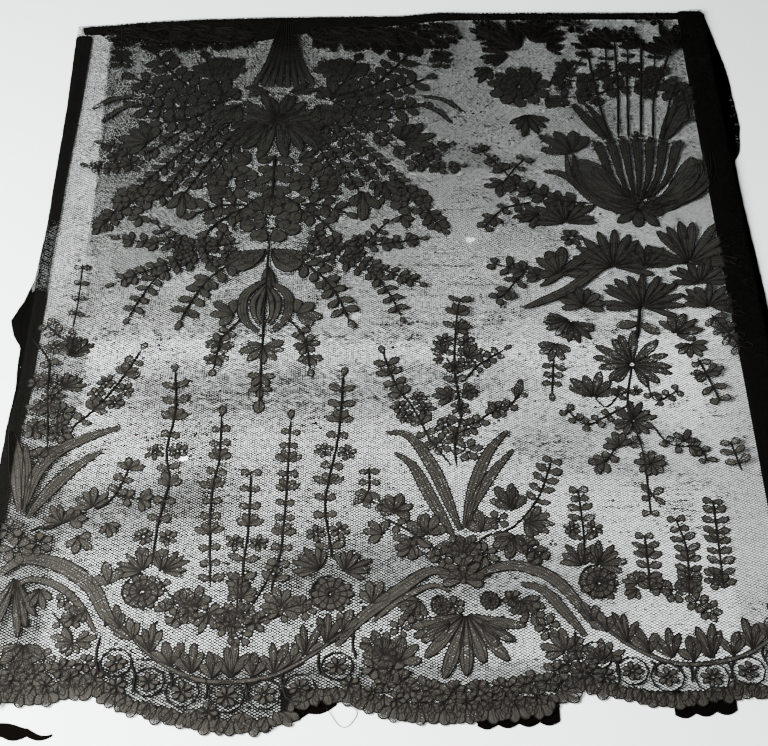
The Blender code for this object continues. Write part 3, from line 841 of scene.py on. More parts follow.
def shift(work, dx, dy, slope, about):
    """A copy of the motifs, moved sideways by dx and up by dy plus the slope times the distance
    from a place."""
    copy = new_work()
    for rows in work["leaves"]:
        lifted = rows.copy()
        lifted[:, 0] += dx
        lifted[:, 1] += dy + slope * (rows[:, 0] - about)
        copy["leaves"].append(lifted)
    for kind in ("cords", "strips"):
        for path, half in work[kind]:
            lift = dy + slope * (path[:, 0] - about)
            copy[kind].append((path + np.column_stack([np.full(len(path), dx), lift]), half))
    copy["rings"] = [(x + dx, y + dy + slope * (x - about), size, half)
                     for x, y, size, half in work["rings"]]
    return copy


def mirror(work, axis):
    """Adds the same motifs on the other side of an upright line."""
    flips = [rows * (-1, 1, -1, 1, 1, -1, 1) + (2 * axis, 0, np.pi, 0, 0, 0, 0)
             for rows in work["leaves"]]
    work["leaves"] += flips
    for kind in ("cords", "strips"):
        work[kind] += [(path * (-1, 1) + (2 * axis, 0), half) for path, half in work[kind]]
    work["rings"] += [(2 * axis - x, y, size, half) for x, y, size, half in work["rings"]]


def join(*works):
    """One list of motifs from several."""
    total = new_work()
    for work in works:
        for kind, rows in work.items():
            total[kind] += rows
    return total


RIBBED = (0.011, 0.024)  # leaves between these lengths have a thread along their middle
VEINED = 0.020           # leaves at least this long have a second outline inside
WIDE = 0.003             # strips wider than this to one side have veins


def sew(name, work):
    """Turns a list of motifs into two pieces: the clothwork, and the raised threads on it. Each
    leaf's turn, length and width are off by a few hundredths, as handwork is."""
    rows = np.vstack(work["leaves"])
    hand = np.random.default_rng(len(rows))
    rows[:, 2] += hand.normal(0, 0.07, len(rows))
    rows[:, 3:5] *= 1 + hand.normal(0, 0.07, (len(rows), 2))
    centre, half = leaf_centres(rows)
    keep = inside_packet(np.concatenate(side_lines(centre, half), axis=1))
    centre, half = centre[keep], half[keep]
    fills = [lens(centre, half, FILL_LIFT, FILL_RISE)]
    left, right = side_lines(centre, half)
    threads = [cord_rings(np.concatenate([left, right[:, ::-1]], axis=1), OUTLINE, closed=True)]
    size = rows[keep][:, 3]
    ribs = centre[(size > RIBBED[0]) & (size < RIBBED[1])][:, : LEAF_POINTS - 2 : 2]
    threads.append(cord_rings(ribs, VEIN))
    long = size >= VEINED
    left, right = side_lines(centre[long, 1:], 0.46 * half[long, 1:])
    threads.append(cord_rings(np.concatenate([left, right[:, ::-1]], axis=1), VEIN, closed=True))
    for path, half_width in work["strips"]:
        clear = inside_packet(path[:, None])
        if clear.sum() < 6:
            continue
        middle, reach = path[clear][None], half_width[clear][None]
        fills.append(lens(middle, reach, FILL_LIFT, FILL_RISE))
        threads += [cord_rings(line, OUTLINE) for line in side_lines(middle, reach)]
        if half_width.max() > WIDE:
            threads += [cord_rings(line, VEIN) for line in side_lines(middle, reach * 0.35)]
    for path, half_width in work["cords"]:
        clear = inside_packet(path[:, None])
        if clear.sum() > 3:
            threads.append(cord_rings(path[clear][None], half_width))
    around = np.linspace(0, 2 * np.pi, 10, endpoint=False)
    for x, y, size, half_width in work["rings"]:
        loop = np.column_stack([x + size * np.cos(around), y + size * np.sin(around)])[None]
        if inside_packet(loop).all():
            threads.append(cord_rings(loop, half_width, closed=True))
    cloth = mesh_piece(name + "_clothwork", fills, clothwork)
    outline = mesh_piece(name + "_threads", threads, thread)
    return [cloth, outline]


on_net = []

# %% [markdown]
# ## The hanging bouquet on the left
# It hangs from a pleated fan near the back fold: roses beside the fan, masses of lobed leaves to
# both sides, feathery stems that run outwards and down to small flowers, one big rose, more leaves,
# and a pendant at the end. It is nearly the same on both sides, so its right half is listed and
# mirrored at the bouquet's middle line.

# %% Left bouquet
AXIS = -0.1125           # the bouquet's middle line
# Columns: x, y, heading, spread, lobes, length
HANGING_FANS = (
    (-59, 272, 1.31, 2.09, 4, 27), (8, 210, 0.60, 2.62, 6, 30), (4, 213, 1.01, 1.40, 3, 26),
    (-66, 372, -1.38, 2.62, 5, 28), (-42, 376, -1.45, 2.79, 6, 36), (-22, 374, -1.34, 2.62, 5, 34),
    (0, 376, -1.21, 2.62, 5, 34), (20, 366, -1.09, 2.09, 4, 26), (-104, 235, -0.80, 1.40, 5, 46),
    (-95, 239, -0.59, 0.87, 3, 33), (-75, 262, -0.95, 1.22, 3, 32), (-75, 284, -0.59, 1.40, 3, 18),
    (-30, 145, -1.54, 1.05, 3, 35), (-11, 157, -1.15, 1.57, 4, 24), (-86, -8, 0.36, 2.27, 4, 22),
    (-91, 184, 0.33, 1.57, 4, 21), (-71, 141, 0.19, 1.57, 4, 21), (6, 112, -1.34, 2.09, 3, 15),
    (-104, 281, 0.17, 0.70, 3, 29), (-60, 312, 2.30, 1.40, 3, 23), (-38, 312, 0.58, 1.57, 3, 16),
)
# Columns: places from foot to tip, what grows at its nodes, size, share where they start
HANGING_STEMS = (
    (((-63, 272), (-48, 300), (-38, 329)), "llllp", 1.35, 0.30),
    (((-63, 271), (-23, 290), (0, 318), (13, 337)), "lllllllp", 1.45, 0.15),
    (((-41, 272), (-4, 284), (31, 302)), "lllllp", 1.40, 0.20),
    (((-67, 270), (-30, 260), (0, 256), (26, 262)), "lllllllp", 1.35, 0.12),
    (((-59, 266), (-33, 245), (-2, 237)), "lllllp", 1.35, 0.20),
    (((-87, 126), (-67, 125), (-44, 115)), "lllp", 1.25, 0.22),
    (((-85, 120), (-68, 107), (-56, 92)), "llp", 1.20, 0.30),
    (((-78, 265), (-37, 213), (17, 141)), "vvvvvvvvvvvvvvv", 0.80, 0.03),
    (((-74, 245), (-40, 197), (-10, 136)), "vvvvvvvvvvvv", 0.78, 0.05),
    (((-81, 237), (-54, 190), (-32, 141)), "bvbvbvbvbv", 0.90, 0.08),
    (((-88, 235), (-69, 197), (-54, 161)), "vvvvvvv", 0.85, 0.10),
    (((-66, 256), (-26, 229), (10, 192)), "vbvbvbvb", 0.90, 0.08),
    (((17, 182), (38, 174), (61, 176)), "ltltp", 0.70, 0.20),
    (((17, 187), (35, 200), (52, 207)), "tltp", 0.70, 0.30),
    (((27, 126), (35, 107), (42, 96)), "tltp", 1.00, 0.30),
    (((-88, 78), (-55, 73), (-15, 76), (23, 83)), "ltltfltltp", 0.85, 0.10),
    (((-35, 73), (-22, 83), (-10, 101)), "lllp", 0.80, 0.20),
    (((-69, 71), (-28, 53), (22, 28)), "ltlltlltlp", 0.80, 0.15),
    (((-52, 57), (-21, 41), (-5, 14), (5, -12)), "lltllllp", 0.85, 0.10),
    (((-89, 59), (-65, 37), (-51, 14), (-40, -15)), "lltlllp", 1.10, 0.15),
    (((-93, -12), (-83, -25), (-76, -39), (-72, -68)), "bltp", 0.95, 0.30),
    (((51, 389), (48, 356), (46, 321)), "tltbtlb", 1.00, 0.10),
    (((-80, 359), (-61, 353), (-38, 365)), "tltl", 1.00, 0.10),
    (((-15, 365), (4, 353), (27, 362)), "tltl", 1.00, 0.10),
    (((-99, 136), (-89, 124), (-84, 117)), "lt", 1.00, 0.30),
)
# Columns: places along the blade, half width
HANGING_BLADES = (
    (((26, 276), (48, 270), (66, 253)), 2.6),
    (((22, 265), (40, 256), (55, 237)), 2.6),
    (((-111, 32), (-94, 14), (-94, -11), (-107, -28)), 4),
    (((-112, 27), (-102, 9), (-103, -8), (-109, -21)), 2.4),
    (((-112, 25), (-108, 9), (-107, -8), (-111, -18)), 2.2),
)
# Columns: x, y, size
HANGING_ROSES = (
    (-74, 158, 23.5), (15, 131, 18.5), (-54, 315, 18),
)
# Columns: x, y, size, petals
HANGING_FLOWERS = (
    (-77, 65, 9, 6), (-62, 54, 8, 5), (21, 180, 11, 6), (37, 191, 8, 5), (-76, -40, 11.5, 6),
    (-55, 76, 10, 6), (-71, 85, 9, 5), (-35, 63, 7.5, 5), (-54, 364, 11, 6), (-30, 356, 10, 5),
    (-7, 359, 10, 6), (39, 374, 11, 6), (60, 365, 9, 5), (-77, 366, 9.5, 5), (-92, 59, 9, 5),
    (-26, 170, 8, 5),
)


def hanging_half():
    """The right half of the bouquet, and its mirror image."""
    work = new_work()
    lay_fans(work, HANGING_FANS)
    lay_stems(work, HANGING_STEMS)
    lay_blades(work, HANGING_BLADES, 0.4)
    lay_flowers(work, HANGING_FLOWERS)
    for x, y, size in np.multiply(HANGING_ROSES, MM):
        rose(work, x, y, size, 9 * x)
    mirror(work, AXIS)
    return work


def hanging_middle():
    """The fan, the shell, the big rose and the pendant, on the middle line."""
    work = new_work()
    for k in np.linspace(-1, 1, 8):
        rib = route(((AXIS + 0.004 + 0.005 * k, 0.388), (AXIS + 0.004 + 0.016 * k, 0.330),
                     (AXIS + 0.004 + 0.029 * k, 0.288 + 0.004 * k**2)), 20)
        strip(work, rib, np.linspace(0.0008, 0.0026, 20))
    fan(work, AXIS, 0.235, np.pi / 2, 3.2, 12, 0.046, 0.02, 0.25)
    fan(work, AXIS, 0.240, np.pi / 2, 2.4, 7, 0.024, 0.05, 0.1)
    fan(work, AXIS, 0.243, -np.pi / 2, 2.6, 8, 0.052, 0.1)
    flower(work, AXIS, 0.238, 0.012, 7)
    down = tuple((AXIS / MM, y) for y in (192, 165, 135))
    lay_stems(work, ((down, "ltltl", 1.50, 0.05),))
    rose(work, AXIS, 0.108, 0.0290, 0.1)
    fan(work, AXIS, 0.139, -np.pi / 2, 2.2, 5, 0.018, 0.3)
    for side in (-1.0, 1.0):
        for size in (1.0, 0.62):
            add_leaves(work, AXIS + 0.003 * side, 0.070, -np.pi / 2 + 0.95 * side, 0.038 * size,
                       0.027 * size, 0.5 * side, 0.05)
    cord(work, route(((AXIS, 0.082), (AXIS - 0.001, -0.010), (AXIS, -0.112))), STEM)
    for y, size, spread, lobes in ((0.050, 0.030, 0.5, 3), (-0.042, 0.021, 3.8, 7),
                                   (-0.074, 0.015, 2.8, 4), (-0.088, 0.013, 2.6, 3)):
        fan(work, AXIS, y, -np.pi / 2, spread, lobes, size, 0.3)
    add_leaves(work, AXIS, -0.101, -np.pi / 2, 0.015, 0.009, 0.0, 0.5)
    return work


on_net += sew("left_bouquet", join(hanging_half(), hanging_middle()))

# %% [markdown]
# ## The vase bouquet on the right
# Posts and small flowers stand in a ribbed cup with curled leaves at both sides. Leaves, a big
# rosette and long blades hang to the left, and one long branch with a broad many-lobed leaf hangs
# down in front. Its right side runs into the fold. Each table row is one motif.

# %% Right bouquet
VASE = 0.223             # middle of the cup's foot
# Columns: x, y, heading, spread, lobes, length
VASE_FANS = (
    (167, 192, 1.97, 1.92, 5, 39), (223, 122, -1.67, 3.67, 7, 28), (260, 52, 1.48, 3.40, 12, 50),
    (266, 27, 1.46, 3.14, 9, 29), (192, 47, 1.48, 3.32, 11, 44), (221, 47, 1.38, 2.27, 7, 31),
    (213, -1, 1.47, 3.49, 13, 42), (270, 0, 1.37, 3.49, 9, 27), (162, 0, 1.51, 3.49, 8, 24),
    (154, 102, 1.56, 3.14, 10, 35), (132, 114, -2.95, 1.75, 5, 24), (144, 39, 1.57, 3.14, 6, 32),
    (127, 347, 2.33, 1.75, 6, 45), (114, 338, -3.08, 1.57, 5, 30), (138, 357, 0.99, 1.75, 6, 41),
    (152, 347, 0.45, 1.75, 5, 21), (98, 362, 2.22, 1.75, 5, 24), (146, 272, -0.49, 1.66, 5, 20),
    (127, 250, -1.52, 1.92, 6, 30), (96, 318, -2.38, 1.40, 4, 23), (280, 339, 1.60, 1.22, 4, 42),
    (149, -15, -2.75, 1.83, 6, 23), (150, -16, -1.07, 1.92, 6, 24), (136, -39, -1.89, 2.27, 5, 21),
    (238, -30, 0.91, 2.44, 6, 25), (250, -39, -1.45, 2.79, 6, 18), (258, -73, -3.10, 1.05, 3, 13),
    (259, -73, 0.32, 1.05, 3, 16), (198, -63, 1.46, 5.24, 14, 35), (163, -99, 1.53, 2.27, 6, 29),
    (193, -123, 1.41, 5.59, 12, 20), (179, -150, 1.80, 2.62, 5, 15),
    (232, -145, 1.28, 2.09, 3, 14), (203, -167, 1.47, 5.76, 9, 14), (201, -197, 1.46, 4.36, 4, 13),
    (286, -30, 2.70, 2.09, 5, 14), (285, -9, 1.16, 2.62, 6, 17), (260, 339, 1.16, 2.62, 6, 20),
    (243, 348, 1.79, 2.62, 6, 19), (195, 348, 1.81, 2.62, 6, 19), (217, 358, 1.48, 2.62, 6, 19),
    (172, 316, 2.10, 1.92, 4, 16), (230, 217, 1.47, 2.62, 3, 8),
)
# Columns: x, y, size, petals
VASE_FLOWERS = (
    (209, 366, 11.5, 6), (183, 381, 12, 6), (236, 371, 9, 5), (266, 390, 10.5, 6),
    (247, 394, 9.5, 5), (106, 359, 12, 6), (138, 383, 12, 6), (166, 392, 11, 6), (90, 389, 12, 6),
    (158, 84, 10, 6), (199, -91, 5.2, 4), (184, -91, 5.2, 4), (192, -145, 6, 4), (198, 364, 8, 5),
    (274, 364, 8, 5),
)
# Columns: places from foot to tip, what grows at its nodes, size, share where they start
VASE_STEMS = (
    (((154, 305), (191, 297), (222, 314), (252, 309), (282, 276)), "tftltftltftlt", 1.10, 0.02),
    (((157, 274), (189, 276), (225, 289), (260, 284), (277, 270)), "ltftltftl", 1.00, 0.05),
    (((209, 307), (212, 348)), "bt", 0.80, 0.60),
    (((231, 316), (234, 349)), "bt", 0.80, 0.60),
    (((257, 310), (261, 349)), "bt", 0.80, 0.60),
    (((178, 314), (188, 335)), "bt", 0.80, 0.50),
    (((116, 148), (106, 163), (88, 188), (82, 197)), "btbt", 0.90, 0.20),
    (((106, 164), (121, 185)), "bb", 0.90, 0.50),
    (((106, 162), (93, 148)), "tl", 1.00, 0.50),
    (((178, 128), (146, 133), (111, 152)), "ttttt", 1.10, 0.20),
    (((124, 129), (99, 121), (81, 98)), "lbtb", 0.90, 0.20),
    (((129, 36), (110, 44), (87, 52)), "ttlb", 1.00, 0.10),
    (((110, 37), (96, 16), (88, 9)), "ltb", 0.95, 0.20),
    (((133, -56), (129, -93)), "lbbp", 0.90, 0.20),
    (((212, 6), (205, -35)), "l", 1.50, 0.60),
    (((254, -56), (259, -73), (266, -101)), "bllb", 0.95, 0.10),
    (((198, -64), (191, -99), (193, -118)), "b", 1.00, 0.50),
    (((164, -99), (173, -108), (185, -94)), "b", 0.80, 0.90),
    (((208, -79), (214, -101), (233, -91)), "bbbb", 0.80, 0.35),
    (((190, -107), (172, -118), (154, -127), (140, -112)), "bbbbb", 0.85, 0.30),
    (((177, -150), (168, -163), (159, -168)), "btb", 0.90, 0.40),
    (((209, -129), (220, -147), (243, -151), (248, -163)), "bbtbb", 0.85, 0.30),
    (((193, -126), (198, -160), (198, -215)), "b", 0.80, 0.97),
    (((275, 294), (281, 272), (282, 238)), "tlb", 0.90, 0.10),
    (((271, -9), (280, -27), (290, -47)), "tltl", 1.00, 0.10),
)
# Columns: places along the blade, half width
VASE_BLADES = (
    (((215, 114), (186, 129), (161, 162), (139, 170)), 5),
    (((200, 213), (187, 238), (173, 264)), 4.8),
    (((206, 210), (197, 240), (186, 263)), 3.4),
    (((256, 213), (273, 242), (288, 272)), 5.6),
    (((252, 213), (266, 250), (275, 268)), 3.4),
    (((194, 76), (169, 62), (144, 39), (126, 23)), 4.2),
    (((203, 54), (181, 47), (148, 18), (110, -2)), 4.8),
    (((230, 114), (259, 129), (282, 164)), 4.4),
)
# Columns: places along the blade, half width
VASE_POSTS = (
    (((204, 213), (198, 272), (192, 360)), 1.2),
    (((212, 213), (218, 281), (222, 360)), 1.2),
    (((222, 213), (227, 277), (230, 312)), 1.2),
    (((234, 217), (242, 294), (249, 362)), 1.3),
    (((245, 213), (253, 277), (266, 314), (277, 344)), 1.2),
    (((255, 213), (265, 259), (275, 290)), 1.2),
)


def vase():
    """The tables' motifs, and the cup with its ribs, curled leaves, handles and rosette."""
    work = new_work()
    lay_fans(work, VASE_FANS)
    lay_flowers(work, VASE_FLOWERS)
    lay_stems(work, VASE_STEMS)
    lay_blades(work, VASE_BLADES, 0.35)
    lay_posts(work, VASE_POSTS, 16)
    for k in np.linspace(-1, 1, 7):
        rib = route(((VASE + 0.010 * k, 0.134), (VASE + 0.004 + 0.026 * k, 0.166 - 0.004 * k**2),
                     (VASE + 0.006 + 0.037 * k, 0.209 - 0.005 * k**2)), 20)
        strip(work, rib, np.linspace(0.0010, 0.0043, 20))
        fan(work, *rib[-1], np.pi / 2 - 0.5 * k, 1.9, 3, 0.0080, 0.0)
    for side in (-1.0, 1.0):
        foot = VASE + 0.006 + 0.006 * side
        for shorter, width in ((0.000, 0.0340), (0.010, 0.0230), (0.020, 0.0130)):
            add_leaves(work, foot + 0.35 * shorter * side, 0.128 + 0.35 * shorter,
                       np.pi / 2 - 0.74 * side, 0.080 - shorter, width, 1.10 * side, 0.1)
        fan(work, foot, 0.126, np.pi / 2 - 1.3 * side, 1.2, 3, 0.016, 0.1)
        for apart, half in ((0.0, 0.0034), (0.007, 0.0030)):
            ear = route(((foot, 0.124 - apart), (VASE + 0.006 + side * (0.036 + apart), 0.134),
                         (VASE + 0.006 + side * (0.058 + apart), 0.160),
                         (VASE + 0.006 + side * (0.061 + apart), 0.192)), 26)
            strip(work, ear, half * np.sin(np.linspace(0.25, 2.8, 26)))
    flower(work, VASE + 0.006, 0.132, 0.0130, 8)
    angle = 2 * np.pi * np.arange(11) / 11
    add_leaves(work, 0.122 + 0.014 * np.cos(angle), 0.290 + 0.014 * np.sin(angle), angle + 0.5,
               0.016, 0.012, 0.8, 0.0)
    spiral(work, 0.122, 0.290, 0.0190, 3.2)
    return work


on_net += sew("right_bouquet", vase())

# %% [markdown]
# ## The upright sprigs
# Between the bouquets and the border stand slender stems. Each stem is one table row: the places it
# runs through, one letter for each node, and its size.

# %% Sprigs
# Columns: places from foot to tip, what grows at its nodes, size, share where they start
SPRIGS = (
    (((-276, 51), (-275, 21), (-275, -8), (-276, -25)), "bbbbp", 0.75, 0.06),
    (((-187, -264), (-186, -232), (-183, -205), (-180, -181), (-185, -153), (-181, -112),
        (-185, -69)), "lfbbtbfbtllp", 1.00, 0.06),
    (((-141, -281), (-145, -224), (-145, -185), (-142, -161),
        (-143, -116)), "lbbtbbtbtbbp", 0.92, 0.04),
    (((-117, -297), (-117, -261), (-115, -224), (-116, -174)), "tllftbbb", 0.95, 0.06),
    (((-95, -284), (-89, -246), (-87, -193), (-86, -119)), "lbbtbbtbtbbp", 0.92, 0.06),
    (((-49, -257), (-56, -211), (-54, -182), (-47, -137), (-44, -74)), "lfbbtbfbtllp", 1.00, 0.06),
    (((-265, -131), (-245, -107), (-228, -77), (-215, -46)), "btfftbp", 1.00, 0.12),
    (((-284, -37), (-297, -23)), "lb", 1.00, 0.40),
    (((-307, -39), (-290, -64), (-288, -90), (-280, -153)), "bftft", 1.00, 0.25),
    (((-235, -211), (-222, -197), (-213, -170)), "bbt", 0.95, 0.50),
    (((-222, -197), (-201, -201)), "bt", 0.90, 0.50),
    (((-283, -232), (-262, -224), (-242, -213)), "t", 1.00, 0.70),
    (((-280, -153), (-288, -163)), "b", 0.90, 0.80),
    (((48, -170), (47, -141), (53, -117), (49, -71), (51, -28),
        (55, 8)), "rlrflrbfltl", 0.95, 0.18),
    (((59, -78), (69, -64), (92, -46)), "bbbbp", 0.85, 0.30),
    (((42, -55), (49, -69)), "b", 0.80, 0.50),
    (((65, -126), (76, -115), (92, -108), (102, -94)), "bbbb", 0.90, 0.10),
    (((44, -168), (27, -141), (19, -121), (10, -103), (0, -87),
        (-11, -50)), "bbtfftltlp", 0.95, 0.20),
    (((-13, -217), (6, -228), (29, -247)), "bbl", 0.90, 0.30),
    (((54, -254), (67, -236), (88, -228), (110, -201), (124, -163)), "llllb", 0.90, 0.66),
    (((94, -234), (109, -256)), "blb", 0.85, 0.40),
    (((-22, -169), (-22, -190), (-27, -203)), "bbtb", 0.90, 0.10),
    (((-24, -200), (-3, -211)), "b", 0.80, 0.50),
    (((143, -262), (144, -228), (143, -191)), "lfllbb", 0.90, 0.35),
    (((190, -285), (191, -259), (191, -235)), "tlltlb", 0.90, 0.08),
    (((219, -289), (222, -249), (217, -219)), "tlltllbb", 0.90, 0.06),
    (((246, -282), (247, -242), (248, -202)), "tllltlllb", 0.90, 0.05),
    (((274, -176), (269, -147)), "llb", 0.90, 0.30),
    (((95, -235), (110, -254)), "bbb", 0.85, 0.40),
)
# Columns: x, y, heading, spread, lobes, length
LOBED = (
    (-274, -57, 1.29, 1.75, 6, 24), (-277, -90, 0.64, 1.57, 5, 20), (-288, -84, 2.79, 1.57, 3, 14),
    (-238, -209, 1.77, 2.62, 6, 19), (-225, -223, -1.09, 1.75, 4, 13),
    (-246, -236, -1.13, 2.62, 4, 15), (-260, -224, 1.99, 2.79, 6, 18),
    (-193, -267, 2.32, 2.27, 7, 21), (-179, -267, 0.93, 2.44, 8, 21),
    (-58, -265, 2.50, 2.27, 7, 23), (-40, -268, 0.83, 2.44, 8, 21),
    (-160, -297, 0.99, 2.62, 5, 15), (-166, -295, -2.98, 1.05, 2, 11),
    (-155, -301, -2.04, 2.62, 5, 12), (-141, -303, -1.41, 2.97, 6, 16),
    (-126, -301, -1.40, 2.97, 6, 14), (-117, -290, 1.50, 3.49, 5, 13),
    (46, -99, 2.72, 1.75, 4, 18), (55, -92, 0.21, 1.75, 4, 13), (42, -50, 2.29, 1.92, 5, 14),
    (40, -57, 3.14, 1.40, 3, 9), (60, -57, 1.14, 1.92, 5, 19), (52, -26, 0.72, 1.92, 4, 13),
    (12, -244, -2.38, 2.79, 5, 15), (-1, -212, 1.33, 3.84, 5, 16), (24, -234, 1.52, 2.09, 4, 21),
    (66, -232, 1.66, 1.40, 3, 23), (89, -210, 1.75, 1.75, 4, 24), (98, -222, -0.12, 2.09, 5, 17),
    (88, -236, -1.74, 2.44, 5, 16), (51, -252, 1.54, 2.79, 6, 16), (50, -275, 1.54, 3.84, 7, 19),
    (-3, -212, 1.21, 3.14, 5, 17), (20, -233, 1.40, 2.27, 3, 19), (-11, -233, 2.60, 2.62, 4, 15),
    (12, -236, -1.89, 2.62, 4, 19), (92, -211, 1.82, 1.92, 4, 21), (102, -221, -0.12, 2.09, 5, 20),
    (91, -233, -1.82, 2.62, 5, 22), (141, -262, 1.89, 2.27, 6, 21), (153, -262, 1.04, 2.62, 7, 23),
    (181, -278, 2.24, 2.62, 5, 12), (181, -282, -2.46, 1.75, 4, 12),
    (-72, -297, 1.32, 3.14, 5, 10), (-88, -303, 2.31, 2.62, 5, 13),
)
# Columns: x, y, size, petals
BLOOMS = (
    (-289, -47, 8, 6), (-275, -39, 8.8, 6), (-293, -112, 10, 6), (-274, -116, 10, 6),
    (-293, -134, 10.5, 6), (-272, -136, 10.5, 6), (-283, -100, 9, 6), (-291, -250, 12.5, 6),
    (-298, -232, 10.5, 6), (-275, -243, 10.5, 6), (35, -146, 10.8, 6), (57, -152, 11.8, 6),
    (40, -127, 8.8, 6), (59, -129, 9.8, 6), (83, -111, 9.5, 6), (78, -220, 9.2, 5),
    (54, -245, 12, 6), (50, -265, 13, 7), (67, -252, 10, 6), (35, -254, 10, 6), (44, -244, 10, 6),
    (59, -62, 7.5, 5), (198, -280, 9.2, 5), (208, -285, 10, 6), (225, -294, 10, 6),
    (232, -301, 10, 6), (221, -273, 10, 6), (241, -273, 10, 6), (-148, -293, 8.5, 5),
    (-127, -313, 10, 6), (-105, -310, 10, 6), (-117, -303, 10, 6), (-116, -323, 9, 5),
    (-164, -307, 8.5, 5), (-69, -300, 8.5, 5),
)
# Columns: places along the blade, half width
BLADES = (
    (((-291, -217), (-285, -177), (-271, -153), (-249, -139), (-224, -129)), 5.2),
    (((-287, -221), (-272, -191), (-256, -169), (-237, -153)), 5),
    (((-293, -215), (-303, -165), (-311, -137)), 6.2),
    (((-290, -215), (-293, -177), (-298, -149)), 3.8),
    (((49, -230), (30, -172), (10, -138), (-9, -135)), 5),
    (((44, -236), (26, -197), (13, -168), (-1, -155)), 4.8),
    (((52, -228), (61, -188), (74, -154), (90, -133)), 4.8),
    (((54, -228), (60, -205), (77, -174), (94, -152)), 4.2),
    (((99, -99), (102, -87), (104, -79)), 3.2),
)


def sprigs():
    """The stems between the bouquets and the border, with the leaves and flowers round them."""
    work = new_work()
    lay_stems(work, SPRIGS)
    lay_fans(work, LOBED)
    lay_flowers(work, BLOOMS)
    lay_blades(work, BLADES, 0.3)
    return work


on_net += sew("sprigs", sprigs())

# %% [markdown]
# ## The border
# The border repeats across the hem. A garland of upright scale-like leaves hangs between two curved
# bands, spirals and small flowers fill the arch above it, and windows with a dark flower in each
# stand on the scallops below it. A palmette hangs at the foot of the middle sprigs.

# %% Border
# Columns: places along the blade, half width
ARCHES = (
    (((-300, -272), (-284, -258), (-257, -261), (-231, -280), (-216, -306), (-200, -322)), 6.2),
    (((-291, -292), (-279, -276), (-257, -279), (-238, -296), (-223, -320)), 3),
    (((-45, -331), (-27, -308), (1, -284), (25, -267), (44, -271)), 5),
    (((-19, -311), (2, -292), (25, -280), (38, -284)), 2.6),
    (((56, -275), (70, -266), (90, -262), (114, -271), (131, -289), (143, -311)), 4.8),
    (((93, -278), (110, -284), (125, -303), (139, -323)), 4),
)
# Columns: places along the blade, half width
GARLAND = (
    (((-209, -309), (-179, -340), (-149, -358), (-120, -361), (-91, -356), (-65, -340),
        (-36, -316)), 1.7),
)
# Columns: places along the blade, half width
POSTS = (
    (((-219, -322), (-220, -340), (-216, -357)), 1.1),
    (((-195, -343), (-190, -357), (-191, -371)), 1.1),
    (((-166, -353), (-163, -359), (-163, -368)), 1.1),
    (((-139, -358), (-137, -366), (-138, -376)), 1.1),
    (((-110, -361), (-108, -369), (-109, -377)), 1.1),
    (((-83, -353), (-84, -360), (-82, -366)), 1.1),
    (((-57, -337), (-58, -346), (-56, -356)), 1.1),
    (((-32, -317), (-33, -330), (-30, -343)), 1.1),
)
# Columns: x, y, heading, spread, lobes, length
GARLAND_LEAVES = (
    (-195, -327, 1.82, 1.22, 3, 20), (-181, -338, 1.71, 1.08, 4, 26),
    (-165, -349, 1.85, 1.05, 3, 25), (-149, -355, 1.82, 1.22, 4, 27),
    (-134, -359, 1.78, 1.05, 3, 21), (-121, -359, 1.64, 1.12, 4, 31),
    (-105, -358, 1.52, 1.05, 3, 23), (-90, -355, 1.48, 1.22, 4, 27),
    (-78, -348, 1.43, 1.05, 3, 19), (-68, -340, 1.36, 1.08, 4, 27), (-53, -330, 1.26, 1.08, 4, 27),
    (-41, -320, 1.28, 1.05, 3, 21), (-205, -317, 1.87, 1.05, 3, 19),
)
# Columns: x, y, size, petals
ROUNDELS = (
    (-205, -345, 7.6, 6), (-180, -361, 7.6, 7), (-155, -369, 7.9, 6), (-123, -373, 8.2, 7),
    (-96, -371, 7.9, 6), (-71, -366, 7.6, 7), (-44, -348, 7.6, 6),
)
# Columns: x, y, heading, spread, lobes, length
ARCH_LEAVES = (
    (-150, -298, 1.80, 2.09, 4, 19), (-173, -302, 2.05, 1.57, 3, 12),
    (-87, -298, 1.81, 2.62, 5, 18), (-86, -300, 0.00, 1.22, 3, 20),
    (-217, -279, 1.89, 1.57, 3, 20), (-238, -328, 2.79, 1.22, 3, 18),
    (-237, -328, 0.33, 1.22, 3, 17), (-288, -273, -1.46, 0.87, 5, 52),
    (-10, -340, 1.71, 2.62, 6, 22), (-19, -296, 1.43, 1.75, 4, 21),
    (-232, -301, -2.56, 1.75, 4, 13), (-269, -282, -1.49, 1.40, 4, 21),
    (-274, -330, -1.48, 2.62, 6, 22), (0, -346, 1.69, 2.97, 6, 23), (123, -336, 1.89, 2.97, 6, 19),
    (150, -343, 1.66, 3.32, 7, 17), (92, -292, -0.89, 2.09, 5, 18), (17, -292, -2.29, 2.09, 5, 18),
)
# Columns: x, y, size, petals
ARCH_FLOWERS = (
    (-123, -314, 6.8, 5), (-248, -292, 8.2, 5), (-240, -307, 9, 6), (-259, -342, 10, 6),
    (-242, -350, 9.5, 6), (-278, -343, 11.5, 6), (-279, -360, 11, 6), (-264, -357, 11, 6),
    (-19, -330, 8.5, 6), (-4, -353, 11, 6), (43, -297, 7.5, 5), (86, -291, 7, 5),
    (90, -299, 6.8, 5), (99, -303, 10.5, 6), (111, -315, 10.5, 6), (11, -303, 10, 6),
    (2, -316, 8, 5), (-9, -335, 9.5, 6), (130, -333, 9.5, 6), (139, -354, 10.5, 6),
    (-16, -349, 10.5, 6), (2, -361, 10.5, 6), (20, -367, 10.5, 6), (39, -370, 10.5, 6),
    (59, -370, 10.5, 6), (78, -367, 10.5, 6), (97, -362, 10.5, 6), (115, -353, 10, 6),
)
# Columns: x, y, heading, spread, lobes, length
PALMETTE = (
    (51, -303, -1.60, 2.62, 9, 52), (40, -311, -2.58, 1.05, 3, 28), (61, -311, -0.56, 1.05, 3, 29),
)
